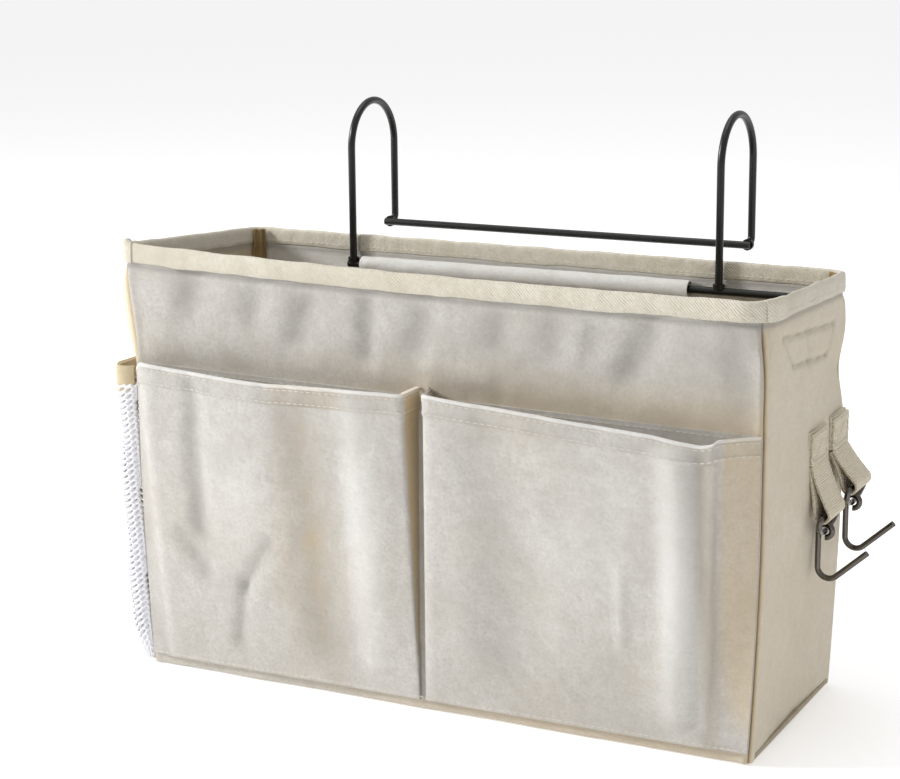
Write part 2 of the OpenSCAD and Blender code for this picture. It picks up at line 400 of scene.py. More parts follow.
def apply_modifier(obj: Object, kind: str, **values: object) -> None:
    """Adds a modifier to a piece and applies it.

    Args:
        obj: the piece.
        kind: the modifier's type.
        values: its settings, by name.
    """
    only(obj)
    made = obj.modifiers.new(kind.title(), kind)
    for key, value in values.items():
        setattr(made, key, value)
    bpy.ops.object.modifier_apply(modifier=made.name)


def face_outward(obj: Object) -> None:
    """Turns every face of a closed piece outward.

    Args:
        obj: the piece.
    """
    only(obj)
    bpy.ops.object.mode_set(mode="EDIT")
    bpy.ops.mesh.select_all(action="SELECT")
    bpy.ops.mesh.normals_make_consistent(inside=False)
    bpy.ops.object.mode_set(mode="OBJECT")


def write_uv(mesh: bpy.types.Mesh, uv: Array) -> None:
    """Stores one UV pair per vertex, in metres of cloth.

    Args:
        mesh: the mesh.
        uv: one pair per vertex.
    """
    layer = mesh.uv_layers.get("cloth") or mesh.uv_layers.new(name="cloth")
    loops = np.zeros(len(mesh.loops), dtype=np.int32)
    mesh.loops.foreach_get("vertex_index", loops)
    layer.data.foreach_set("uv", np.asarray(uv, dtype=np.float32)[loops].ravel())
    for other in [l for l in mesh.uv_layers if l.name != "cloth"]:
        mesh.uv_layers.remove(other)


def paint(obj: Object, **values: Array) -> None:
    """Stores named values per vertex, between 0 and 1, that the finishes read.

    Args:
        obj: the piece.
        values: one array per name.
    """
    for name, value in values.items():
        layer = obj.data.attributes.new(name, "FLOAT", "POINT")
        layer.data.foreach_set("value", np.clip(value, 0.0, 1.0).astype(np.float32).ravel())


def shade(obj: Object, angle: float = 50.0) -> None:
    """Smooths a piece, keeping edges sharper than the angle."""
    only(obj)
    bpy.ops.object.shade_smooth_by_angle(angle=math.radians(angle))


def grid_piece(
    name: str, points: Array, uv: Array, thickness: float, closed: bool = False, **values: Array
) -> Object:
    """A piece of cloth from a grid of points on its outer face.

    Args:
        name: the piece's name.
        points: rows by columns by 3, in metres.
        uv: rows by columns by 2, in metres of cloth.
        thickness: of the cloth, inward from the grid, in millimetres.
        closed: joins the last column to the first.
        values: values per vertex for the finish, rows by columns.

    Returns:
        The piece.
    """
    rows, columns = points.shape[:2]
    index = np.arange(rows * columns).reshape(rows, columns)
    right = np.roll(index, -1, axis=1) if closed else index[:, 1:]
    left = index if closed else index[:, :-1]
    quads = np.stack([left[:-1], right[:-1], right[1:], left[1:]], -1).reshape(-1, 4)
    obj = link_piece(name, points, quads.tolist(), uv)
    paint(obj, **values)
    apply_modifier(obj, "SOLIDIFY", thickness=thickness * MM, offset=-1.0, use_even_offset=False)
    face_outward(obj)
    shade(obj)
    return obj


def tube_piece(name: str, rings: Array, uv_step: float = 1.0) -> Object:
    """A closed solid from a row of closed cross sections, capped at both ends.

    Args:
        name: the piece's name.
        rings: sections by points by 3, in metres.
        uv_step: length of cloth between sections, in millimetres.

    Returns:
        The piece.
    """
    count, around = rings.shape[:2]
    index = np.arange(count * around).reshape(count, around)
    after = np.roll(index, -1, axis=1)
    quads = np.stack([index[:-1], after[:-1], after[1:], index[1:]], -1).reshape(-1, 4).tolist()
    quads.append(index[0][::-1].tolist())
    quads.append(index[-1].tolist())
    girth = np.linalg.norm(rings - np.roll(rings, 1, axis=1), axis=2).cumsum(axis=1)
    along = np.broadcast_to((np.arange(count) * uv_step * MM)[:, None], (count, around))
    obj = link_piece(name, rings, quads, np.stack([along, girth], -1))
    face_outward(obj)
    shade(obj)
    return obj


def ring_piece(name: str, rings: Array) -> Object:
    """A closed band from cross sections that go all the way round.

    Args:
        name: the piece's name.
        rings: sections by points by 3, in metres; the last section joins the first.

    Returns:
        The piece.
    """
    count, around = rings.shape[:2]
    index = np.arange(count * around).reshape(count, around)
    after = np.roll(index, -1, axis=1)
    nxt = np.roll(index, -1, axis=0)
    quads = np.stack([index, after, np.roll(nxt, -1, axis=1), nxt], -1).reshape(-1, 4)
    middle = rings.mean(axis=1)
    run = np.linalg.norm(middle - np.roll(middle, 1, axis=0), axis=1).cumsum()
    girth = np.linalg.norm(rings - np.roll(rings, 1, axis=1), axis=2).cumsum(axis=1)
    along = np.broadcast_to(run[:, None], (count, around))
    obj = link_piece(name, rings, quads.tolist(), np.stack([along, girth], -1))
    face_outward(obj)
    shade(obj)
    return obj


def edge_roll(gap: Array, radius: float) -> Array:
    """Outward offset of cloth that rolls in at a seam, from its distance to the seam."""
    inside = np.clip(gap, 0.0, radius)
    return np.sqrt(np.maximum(radius**2 - (radius - inside) ** 2, 0.0)) - radius


class Thread:
    """One modelled stitch, laid again and again along seams."""

    def __init__(self, thickness: float = 0.5, length: float = 2.7) -> None:
        """Models the stitch: a short bead of thread whose ends dip into the cloth.

        Args:
            thickness: of the thread, in millimetres.
            length: of the stitch, in millimetres.
        """
        bpy.ops.object.select_all(action="DESELECT")
        bpy.ops.mesh.primitive_uv_sphere_add(segments=6, ring_count=5, radius=1.0)
        obj = bpy.context.active_object
        self.points = np.array([v.co for v in obj.data.vertices], float)
        self.points = self.points[:, [2, 0, 1]]
        self.points *= np.array([length / 2, thickness / 2, thickness / 2]) * MM
        self.faces = [list(p.vertices) for p in obj.data.polygons]
        bpy.data.objects.remove(obj)

    def sew(self, name: str, rows: list[tuple[Array, Array]]) -> Object:
        """Lays stitches along rows of points.

        Args:
            name: the piece's name.
            rows: list of (points, outward directions), one pair per row of stitches.

        Returns:
            The piece.
        """
        points = []
        faces = []
        for places, outward in rows:
            places = np.asarray(places, float)
            outward = np.asarray(outward, float)
            for i in range(len(places) - 1):
                run = places[i + 1] - places[i]
                run = run / max(np.linalg.norm(run), 1e-9)
                out = outward[i] - run * float(outward[i] @ run)
                out = out / max(np.linalg.norm(out), 1e-9)
                basis = np.stack([run, np.cross(out, run), out])
                middle = (places[i] + places[i + 1]) / 2
                base = len(points) * len(self.points)
                points.append(self.points @ basis + middle)
                faces += [[base + k for k in f] for f in self.faces]
        joined = np.concatenate(points)
        obj = link_piece(name, joined, faces, np.zeros((len(joined), 2)))
        face_outward(obj)
        shade(obj)
        return obj


def directions(points: Array) -> Array:
    """Outward directions of a row of points on the bag, each square to its wall.

    Args:
        points: n by 3, in metres.

    Returns:
        The directions, n by 3.
    """
    flat = np.array(points)
    out = np.zeros(flat.shape)
    near_x = np.abs(flat[:, 0]) / (HALF_W * MM)
    near_y = np.abs(flat[:, 1]) / (HALF_D * MM)
    side = near_x > near_y
    out[side, 0] = np.sign(flat[side, 0])
    out[~side, 1] = np.sign(flat[~side, 1])
    return out


# ---------- finishes ----------


def rgb(red: float, green: float, blue: float) -> tuple[float, float, float, float]:
    """Colour from 0..255 as shown, to the linear values that a shader takes.

    Args:
        red: 0 to 255.
        green: 0 to 255.
        blue: 0 to 255.

    Returns:
        Red, green, blue and full opacity.
    """

    def linear(v: float) -> float:
        """One channel."""
        v = v / 255.0
        return v / 12.92 if v <= 0.04045 else ((v + 0.055) / 1.055) ** 2.4

    return (linear(red), linear(green), linear(blue), 1.0)


class Weave(Enum):
    """How a cloth is woven, as its surface shows."""

    PLAIN = "plain"
    TWILL = "twill"
    RIBBED = "ribbed"
    NONE = "none"


class Nodes:
    """Short way to add and join shader nodes."""

    def __init__(self, material: Material) -> None:
        """Starts on a material with only its output and shader.

        Args:
            material: the new material.
        """
        material.use_nodes = True
        self.tree = material.node_tree
        self.tree.nodes.clear()
        self.output = self.tree.nodes.new("ShaderNodeOutputMaterial")
        self.shader = self.tree.nodes.new("ShaderNodeBsdfPrincipled")
        self.join(self.shader.outputs[0], self.output.inputs[0])

    def join(self, source: Socket, target: Socket) -> None:
        """Joins an output to an input."""
        self.tree.links.new(source, target)

    def add(self, kind: str, settings: dict | None = None, **inputs: object) -> bpy.types.Node:
        """Adds a node.

        Args:
            kind: the node's type without "ShaderNode".
            settings: its properties.
            inputs: values or outputs for its inputs, by name with underscores or as i and place.

        Returns:
            The node.
        """
        node = self.tree.nodes.new("ShaderNode" + kind)
        for key, value in (settings or {}).items():
            setattr(node, key, value)
        for key, value in inputs.items():
            name = key.replace("_", " ")
            socket = node.inputs[int(key[1:])] if key[1:].isdigit() else node.inputs[name]
            if isinstance(value, Socket):
                self.join(value, socket)
            else:
                socket.default_value = value
        return node

    def math(self, operation: str, a: Socket | float, b: Socket | float = 0.0) -> Socket:
        """Adds one sum and returns its output."""
        return self.add("Math", {"operation": operation}, i0=a, i1=b).outputs[0]

    def noise(
        self, vector: Socket, scale: float, detail: float = 3.0, roughness: float = 0.55
    ) -> Socket:
        """Adds noise and returns its value."""
        made = self.add("TexNoise", Vector=vector, Scale=scale, Detail=detail, Roughness=roughness)
        return made.outputs[0]

    def mix(self, share: Socket, a: Socket | tuple, b: Socket | tuple) -> Socket:
        """Mixes two colours and returns the result.

        Args:
            share: how much of the second colour.
            a: first colour.
            b: second colour.

        Returns:
            The mixed colour.
        """
        made = self.add("Mix", {"data_type": "RGBA"})
        for place, value in ((0, share), (6, a), (7, b)):
            if isinstance(value, Socket):
                self.join(value, made.inputs[place])
            else:
                made.inputs[place].default_value = value
        return made.outputs[2]

    def ramp(self, value: Socket, low: float, high: float) -> Socket:
        """Spreads a value from low..high to 0..1.

        Args:
            value: the value.
            low: becomes 0.
            high: becomes 1.

        Returns:
            The spread value.
        """
        made = self.add("MapRange", {"clamp": True}, Value=value)
        made.inputs["From Min"].default_value = low
        made.inputs["From Max"].default_value = high
        return made.outputs[0]

    def bump(self, height: Socket, distance: float, under: Socket | None = None) -> Socket:
        """Adds relief of a height in metres, over another's, and returns its normal.

        Args:
            height: the pattern.
            distance: its height, in metres.
            under: normal of the coarser relief.

        Returns:
            The normal.
        """
        made = self.add("Bump", Height=height)
        if under is not None:
            self.join(under, made.inputs["Normal"])
        made.inputs["Distance"].default_value = distance
        return made.outputs[0]

    def surface(self, **values: float | tuple) -> None:
        """Sets plain values on the shader's own inputs, by name with underscores."""
        for name, value in values.items():
            self.shader.inputs[name.replace("_", " ")].default_value = value


@dataclass(frozen=True)
class Cloth:
    """A woven finish.

    Attributes:
        name: the material's name.
        colour: the main colour.
        shadow: colour of the greyer, more worn patches; a darker copy of it is painted shade in
            the dips between the threads.
        weave: how the threads cross.
        pitch: distance between threads, in millimetres.
        bump: height of the threads, in millimetres.
        wrinkle: height of the small unevenness, in millimetres.
        sheen: soft light at grazing angles.
        rough: how matt it is.
        beige: colour where the piece's own beige value is 1; it gives a warmer tone and painted
            shade.
        grey: colour of painted shade, where the piece's grey value is 1.
        pale: colour of painted highlights and painted light, where the piece's pale value is 1.
    """

    name: str
    colour: tuple
    shadow: tuple
    weave: Weave = Weave.PLAIN
    pitch: float = 0.9
    bump: float = 0.12
    wrinkle: float = 0.25
    sheen: float = 0.2
    rough: float = 0.9
    # The beige and grey colours stand for painted shade, pale for painted light and highlights.
    beige: tuple = rgb(214, 190, 146)
    grey: tuple = rgb(150, 146, 140)
    pale: tuple = rgb(252, 251, 248)

    def make(self) -> Material:
        """Builds the material.

        Returns:
            The material.
        """
        material = bpy.data.materials.new(self.name)
        n = Nodes(material)
        uv = n.add("UVMap", {"uv_map": "cloth"}).outputs[0]
        place = n.add("TexCoord").outputs["Object"]
        split = n.add("SeparateXYZ", Vector=uv)
        step = 2.0 * math.pi / (self.pitch * MM)
        u = n.math("MULTIPLY", split.outputs[0], step)
        v = n.math("MULTIPLY", split.outputs[1], step)
        drift = n.math("MULTIPLY", n.noise(place, 60.0, 2.0), 5.0)
        if self.weave is Weave.TWILL:
            threads = n.math("SINE", n.math("ADD", n.math("ADD", u, v), drift))
        elif self.weave is Weave.RIBBED:
            across = n.math("SINE", n.math("ADD", u, drift))
            along = n.math("SINE", n.math("MULTIPLY", v, 0.5))
            threads = n.math("ADD", across, n.math("MULTIPLY", along, 0.35))
        elif self.weave is Weave.PLAIN:
            across = n.math("SINE", n.math("ADD", u, drift))
            along = n.math("SINE", n.math("ADD", v, drift))
            threads = n.math("MULTIPLY", across, along)
        else:
            threads = n.noise(place, 900.0, 2.0)
        patches = n.ramp(n.noise(place, 26.0, 4.0), 0.42, 0.72)
        mottle = n.ramp(n.noise(place, 150.0, 4.0, 0.65), 0.36, 0.68)
        slubs = n.ramp(n.noise(place, 640.0, 3.0), 0.42, 0.68)
        tone = n.mix(n.math("MULTIPLY", patches, 0.55), self.colour, self.shadow)
        tone = n.mix(n.math("MULTIPLY", mottle, 0.45), tone, self.shadow)
        tone = n.mix(n.math("MULTIPLY", slubs, 0.5), tone, self.shadow)
        # Painted shade: the dips between the threads are darkened.
        dips = n.ramp(threads, -1.0, 0.2)
        dark = tuple(c * 0.82 for c in self.shadow[:3]) + (1.0,)
        tone = n.mix(n.math("MULTIPLY", n.math("SUBTRACT", 1.0, dips), 0.22), tone, dark)
        # Painted shade from each piece's grey and beige values, painted light from its pale value;
        # beige also gives a warmer tone.
        for name, colour in (("beige", self.beige), ("grey", self.grey), ("pale", self.pale)):
            amount = n.add("Attribute", {"attribute_name": name}).outputs["Fac"]
            tone = n.mix(amount, tone, colour)
        n.join(tone, n.shader.inputs["Base Color"])
        n.surface(Roughness=self.rough, Sheen_Weight=self.sheen, Specular_IOR_Level=0.2)
        soft = n.bump(n.noise(place, 150.0, 6.0, 0.7), self.wrinkle * MM * 5.0)
        n.join(n.bump(threads, self.bump * MM, soft), n.shader.inputs["Normal"])
        return material


@dataclass(frozen=True)
class Wire:
    """A metal or coated wire finish."""

    name: str
    colour: tuple
    metallic: float
    rough: float
    coat: float = 0.0

    def make(self) -> Material:
        """Builds the material.

        Returns:
            The material.
        """
        material = bpy.data.materials.new(self.name)
        n = Nodes(material)
        place = n.add("TexCoord").outputs["Object"]
        worn = n.ramp(n.noise(place, 90.0, 4.0), 0.35, 0.8)
        bright = tuple(min(1.0, c * 1.5 + 0.002) for c in self.colour[:3]) + (1.0,)
        tone = n.mix(n.math("MULTIPLY", worn, 0.3), self.colour, bright)
        n.join(tone, n.shader.inputs["Base Color"])
        rough = n.math("ADD", n.math("MULTIPLY", worn, 0.14), self.rough)
        n.join(rough, n.shader.inputs["Roughness"])
        n.surface(Metallic=self.metallic, Coat_Weight=self.coat, Coat_Roughness=0.12)
        n.join(n.bump(n.noise(place, 700.0), 0.04 * MM), n.shader.inputs["Normal"])
        return material


@dataclass(frozen=True)
class Board:
    """Grey cardboard."""

    name: str
    colour: tuple

    def make(self) -> Material:
        """Builds the material.

        Returns:
            The material.
        """
        material = bpy.data.materials.new(self.name)
        n = Nodes(material)
        place = n.add("TexCoord").outputs["Object"]
        fibres = n.noise(place, 340.0, 6.0, 0.7)
        pale = tuple(min(1.0, c * 1.5) for c in self.colour[:3]) + (1.0,)
        n.join(n.mix(n.ramp(fibres, 0.3, 0.7), self.colour, pale), n.shader.inputs["Base Color"])
        n.surface(Roughness=0.95)
        n.join(n.bump(fibres, 0.2 * MM), n.shader.inputs["Normal"])
        return material


class Finishes:
    """Every finish of the caddy, made once."""

    def __init__(self) -> None:
        """Makes the materials."""
        canvas = Cloth("canvas finish", rgb(214, 211, 206), rgb(184, 178, 168))
        # Side walls: a warmer copy of the canvas, with painted shade in its warm tone.
        side = Cloth("side canvas painted shade finish", rgb(230, 221, 205), rgb(214, 203, 184))
        # Inner faces of the walls: a beige copy of the canvas, painted shade inside the bag.
        painted_inner_shading = Cloth("inner canvas painted shade finish", rgb(214, 202, 176), rgb(198, 182, 150))
        # Faces of the pocket strips that turn back: a beige copy of the canvas, painted shade.
        gusset_painted_shade = Cloth("gusset finish", rgb(214, 202, 178), rgb(194, 178, 150))
        sleeve = Cloth("sleeve finish", rgb(250, 249, 246), rgb(232, 229, 222), pitch=0.6)
        tape = Cloth(
            "rim tape finish", rgb(226, 221, 208), rgb(204, 195, 174), Weave.TWILL, 1.7, 0.12
        )
        binding = Cloth(
            "seam tape finish", rgb(196, 168, 116), rgb(172, 142, 90), Weave.TWILL, 0.9, 0.15
        )
        band = Cloth("pocket band finish", rgb(222, 207, 176), rgb(204, 186, 150))
        webbing = Cloth(
            "webbing finish", rgb(240, 231, 211), rgb(220, 206, 178), Weave.RIBBED, 1.5, 0.2
        )
        net = Cloth("net finish", rgb(244, 244, 246), rgb(230, 230, 236), Weave.NONE, wrinkle=0.1)
        thread = Cloth(
            "thread finish", rgb(224, 219, 208), rgb(206, 199, 184), Weave.NONE, wrinkle=0.05
        )
        self.canvas = canvas.make()
        self.side = side.make()
        self.painted_inner_shading = painted_inner_shading.make()
        self.gusset_painted_shade = gusset_painted_shade.make()
        self.sleeve = sleeve.make()
        self.tape = tape.make()
        self.binding = binding.make()
        self.band = band.make()
        self.webbing = webbing.make()
        self.net = net.make()
        self.thread = thread.make()
        self.black = Wire("black wire finish", rgb(3, 3, 3), 0.0, 0.3, 0.06).make()
        self.nickel = Wire("nickel wire finish", rgb(98, 94, 88), 1.0, 0.13).make()
        self.board = Board("board finish", rgb(150, 140, 122)).make()


def dress(obj: Object, finish: Material, *more: Material) -> None:
    """Gives a piece its finish, and more for faces that are set apart.

    Args:
        obj: the piece.
        finish: its finish.
        more: further finishes, in slots of their own.
    """
    obj.data.materials.clear()
    for material in (finish, *more):
        obj.data.materials.append(material)


def dress_inner_faces(obj: Object, finish: Material, inward: Callable[[Vector, Vector], bool]) -> None:
    """Gives the faces that look into the bag a second finish with painted shading.

    Args:
        obj: the panel.
        finish: the finish with painted shading.
        inward: function of a face's centre and normal that is true for an inner face.
    """
    obj.data.materials.append(finish)
    for face in obj.data.polygons:
        if inward(face.center, face.normal):
            face.material_index = 1


# ---------- the bag ----------


@dataclass
class Panel:
    """One upright wall of the bag."""

    side: Side
    node: str
    folds: tuple[Fold, ...] = ()
    seed: int = 1
    rough: float = 0.5
    top: float = 222.0
    pitch: float = 2.6

    def offset(self, along: Array, up: Array) -> Array:
        """Outward offset of the wall's face at each point.

        Args:
            along: distance along the side, in millimetres.
            up: height over the floor, in millimetres.

        Returns:
            The offset, in millimetres.
        """
        length = SIDE_LENGTH[self.side]
        gap = np.minimum(along, length - along)
        calm = smoothstep(0.0, 14.0, gap)
        calm = calm * (1.0 - smoothstep(204.0, 213.0, up))
        out = self.rough * waves(along, up, 70.0, self.seed) * calm
        for fold in self.folds:
            out = out + fold.height(along, up)
        ridge = 0.8 * np.exp(-(((gap - 3.4) / 1.5) ** 2))
        seam = edge_roll(gap, 2.6) + ridge
        out = out + seam * (1.0 - smoothstep(207.0, 214.0, up))
        out = out - 0.7 * np.exp(-(((up - 213.4) / 1.3) ** 2))
        return out + edge_roll(up, 2.0)

    def tones(self, along: Array, up: Array) -> dict[str, Array]:
        """How beige and how grey the cloth is at each point: painted shade under the tape, in the
        seams and in the folds' dents, and a warmer tone.

        Args:
            along: distance along the side, in millimetres.
            up: height over the floor, in millimetres.

        Returns:
            Values by name.
        """
        length = SIDE_LENGTH[self.side]
        gap = np.minimum(along, length - along)
        # Painted shade: a dark line just under the rim tape and in the grooves of the corner
        # seams.
        grey = 0.7 * np.exp(-(((up - 213.6) / 1.2) ** 2)) + 0.6 * np.exp(-((gap / 1.0) ** 2))
        # Painted shade: beige in the grooves of the corner seams.
        beige = 0.95 * np.exp(-((gap / 1.5) ** 2)) * (1.0 - smoothstep(208.0, 214.0, up))
        # Painted shade in the dents of the folds.
        for fold in self.folds:
            grey = grey - 0.13 * np.minimum(fold.height(along, up), 0.0)
        if self.side is Side.FRONT:
            warm = 0.3 * (1.0 - smoothstep(164.0, 188.0, up)) * smoothstep(60.0, 230.0, along)
            beige = beige + warm + 0.12 * (1.0 - smoothstep(164.0, 200.0, up))
        else:
            beige = beige + 0.12
        return {"beige": beige, "grey": grey}

    def build(self) -> None:
        """Builds the wall with its thickness."""
        length = SIDE_LENGTH[self.side]
        count = int(length / self.pitch)
        fine = np.array([0.0, 0.25, 0.6, 1.1, 1.7, 2.3, 3.2])
        middle = np.linspace(4.6, length - 4.6, count)
        along = np.concatenate([fine, middle, length - fine[::-1]])
        along[-1] = length - 1e-4
        rise = np.linspace(4.0, self.top, int(218.0 / self.pitch))
        up = np.concatenate([[0.0, 0.3, 0.8, 1.4, 2.0], rise])
        s, z = np.meshgrid(along, up)
        points = SHAPE.at(SIDE_START[self.side] + s, z, self.offset(s, z))
        uv = np.stack([s, z], -1) * MM
        self.obj = grid_piece(self.node + "_cloth", points, uv, CANVAS, **self.tones(s, z))

    def dress(self, finishes: Finishes) -> None:
        """Canvas outside; inside, a beige copy of the canvas with painted shade, and on the back
        the paler sleeve finish as painted light.

        Args:
            finishes: the caddy's finishes.
        """
        nx, ny = SIDE_OUT[self.side]
        # The side walls take the warmer copy of the canvas, painted shade.
        outer = finishes.side if self.side in (Side.RIGHT, Side.LEFT) else finishes.canvas
        dress(self.obj, outer)
        # Painted light on the back wall's inner face, which takes the paler sleeve finish; painted
        # shade on the other inner faces.
        painted_inner_shading = finishes.sleeve if self.side is Side.BACK else finishes.painted_inner_shading
        dress_inner_faces(self.obj, painted_inner_shading, lambda c, n: n.x * nx + n.y * ny < -0.3)
        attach(self.obj, "bag")
        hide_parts(self.node)


@dataclass
class RimTape:
    """Twill tape folded over the mouth's edge and sewn through."""

    pitch: float = 2.0

    def section(self, around: Array) -> tuple[Array, Array]:
        """Closed cross section at each place round the rim, as offset and height.

        Args:
            around: distance round the box.

        Returns:
            offset and height arrays, places by points.
        """
        droop = 0.5 * waves(around, 0 * around, 46.0, 31)
        puff = 0.25 * waves(around, 0 * around, 12.0, 32)
        low = 215.0 + droop
        outer = 0.85 + puff
        inner = -CANVAS - 0.85 - 0.5 * puff
        top = HEIGHT + 0.3 * waves(around, 0 * around, 30.0, 33)
        middle = (outer + inner) / 2
        half = (outer - inner) / 2
        offs = []
        heights = []
        for share in (0.0, 0.06, 0.25, 0.5, 0.8):
            offs.append(outer - 0.25 * (share == 0.0) + 0.16 * math.sin(math.pi * share))
            heights.append(low + (top - 1.6 - low) * share)
        for turn in (20, 50, 90, 130, 160):
            offs.append(middle + half * math.cos(math.radians(turn)))
            heights.append(top - 1.6 + 1.6 * math.sin(math.radians(turn)))
        for share in (0.8, 0.5, 0.25, 0.06, 0.0):
            offs.append(inner + 0.25 * (share == 0.0) - 0.12 * math.sin(math.pi * share))
            heights.append(low + 0.6 + (top - 2.2 - low) * share)
        return np.stack(offs, -1), np.stack(heights, -1)

    def build(self) -> None:
        """Builds the tape and its second layers near both front corners."""
        around = np.arange(0.0, GIRTH, self.pitch)
        offs, heights = self.section(around)
        places = np.broadcast_to(around[:, None], offs.shape)
        self.obj = ring_piece("rim_tape_cloth", SHAPE.at(places, heights, offs))
        self.overlap = self.patch("rim_tape_overlap", 352.0, 376.0, 0.7)
        self.corner = self.patch("rim_tape_corner", 940.0, 955.0, 0.3, 2.2)

    def patch(
        self, name: str, start: float, end: float, grow: float, peak: float = 0.0
    ) -> Object:
        """A second layer of tape over a stretch of the rim.

        Args:
            name: the piece's name.
            start: where it starts, round the rim.
            end: where it ends.
            grow: how far it stands off the first layer.
            peak: how far its middle rises to a point.

        Returns:
            The piece.
        """
        over = np.linspace(start, end, 15)
        offs, heights = self.section(over)
        rise = peak * np.maximum(1.0 - np.abs(over - GIRTH) / 6.0, 0.0)[:, None]
        heights = heights + 0.3 + rise * smoothstep(218.0, 225.0, heights)
        swell = np.where(offs > -0.8, grow, -0.6)
        places = np.broadcast_to(over[:, None], offs.shape)
        return tube_piece(name, SHAPE.at(places, heights, offs + swell))

    def dress(self, finishes: Finishes) -> None:
        """Tape finish on every layer.

        Args:
            finishes: the caddy's finishes.
        """
        for piece in (self.obj, self.overlap, self.corner):
            dress(piece, finishes.tape)
            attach(piece, "bag")
        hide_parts("rim_tape")


@dataclass
class Base:
    """The bag's floor and the tapes that bind the seams inside."""

    def build(self) -> None:
        """Builds the floor panel, the corner tapes and the tape round the floor."""
        across = np.linspace(-HALF_W + 2.4, HALF_W - 2.4, 90)
        deep = np.linspace(-HALF_D + 2.4, HALF_D - 2.4, 36)
        x, y = np.meshgrid(across, deep)
        z = 0.25 + 0.25 * np.abs(waves(x, y, 60.0, 41))
        sx, sy, sz = SHAPE.settle(x, y, z)
        points = np.stack([sx, sy, sz], -1)[::-1] * MM
        self.floor = grid_piece("base_panel_cloth", points, np.stack([x, y], -1)[::-1] * MM, 1.2)
        rings = []
        for place in np.arange(0.0, GIRTH, 2.5):
            wave = 0.35 * math.sin(place / 7.0)
            rings.append(
                [
                    (place, 1.8, -CANVAS - 0.05),
                    (place, 9.6 + wave, -CANVAS - 0.05),
                    (place, 9.8 + wave, -CANVAS - 0.9),
                    (place, 1.8, -CANVAS - 1.2),
                ]
            )
        rings = np.array(rings)
        self.binding = ring_piece(
            "base_seam_tape_cloth", SHAPE.at(rings[..., 0], rings[..., 1], rings[..., 2])
        )
        tapes = []
        for k, corner in enumerate((350.0, 475.0, 825.0, GIRTH)):
            place = corner + np.array([-8.0, -5.0, -2.5, 0.0, 2.5, 5.0, 8.0])
            up = np.linspace(9.8, 224.0, 74)
            s, z = np.meshgrid(place, up)
            depth = -CANVAS - 0.1 + 0.3 * waves(s, z, 22.0, 50 + k, 2) * 0.5
            fold = 4.4 * np.exp(-((s - corner) / 2.2) ** 2)
            step = 1.5 * smoothstep(212.0, 214.5, z)
            points = SHAPE.at(s, z, depth - 0.25 - fold * 0.4 - step)
            tapes.append(grid_piece(f"tape_{k}", points, np.stack([s, z], -1) * MM, 1.0))
        self.corners = join_pieces("corner_seam_tapes_cloth", tapes)

    def dress(self, finishes: Finishes) -> None:
        """Canvas under, binding inside.

        Args:
            finishes: the caddy's finishes.
        """
        for piece, finish, slot, node in (
            (self.floor, finishes.canvas, "canvas", "base_panel"),
            (self.binding, finishes.binding, "seam_tape", "base_seam_tape"),
            (self.corners, finishes.binding, "seam_tape", "corner_seam_tapes"),
        ):
            dress(piece, finish)
            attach(piece, "bag")
            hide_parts(node)


@dataclass
class Sleeve:
    """Cloth tube behind the back rim that the hanger's bar runs through."""

    left: float = -102.0
    right: float = 92.0
    y: float = 57.0
    z: float = 206.0

    def build(self) -> None:
        """Builds the tube as a wall of cloth round a hollow, creased at its left end."""
        around = np.radians(np.linspace(0.0, 360.0, 29)[:-1])
        along = np.linspace(self.left, self.right, 120)
        a, t = np.meshgrid(along, around, indexing="ij")
        crush = 0.5 * waves(a, t * 6.0, 26.0, 61)
        crush = crush + 0.8 * np.exp(-((a - self.left - 7.0) / 5.0) ** 2) * np.sin(3 * t)
        radius = 4.75 + 0.45 * crush
        tail = np.clip(np.cos(t - math.radians(-62.0)), 0.0, 1.0) ** 6
        y = self.y + radius * np.cos(t)
        z = self.z + radius * np.sin(t) - 3.4 * tail
        y = np.minimum(y, HALF_D - CANVAS - 0.1)
        points = np.stack([a, y, z], -1) * MM
        uv = np.stack([a, t * 5.0], -1) * MM
        self.obj = grid_piece("hanger_sleeve_cloth", points, uv, 0.8, True)

    def dress(self, finishes: Finishes) -> None:
        """Grey-white cloth.

        Args:
            finishes: the caddy's finishes.
        """
        dress(self.obj, finishes.sleeve)
        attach(self.obj, "bag")
        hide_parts("hanger_sleeve")


# ---------- pockets ----------


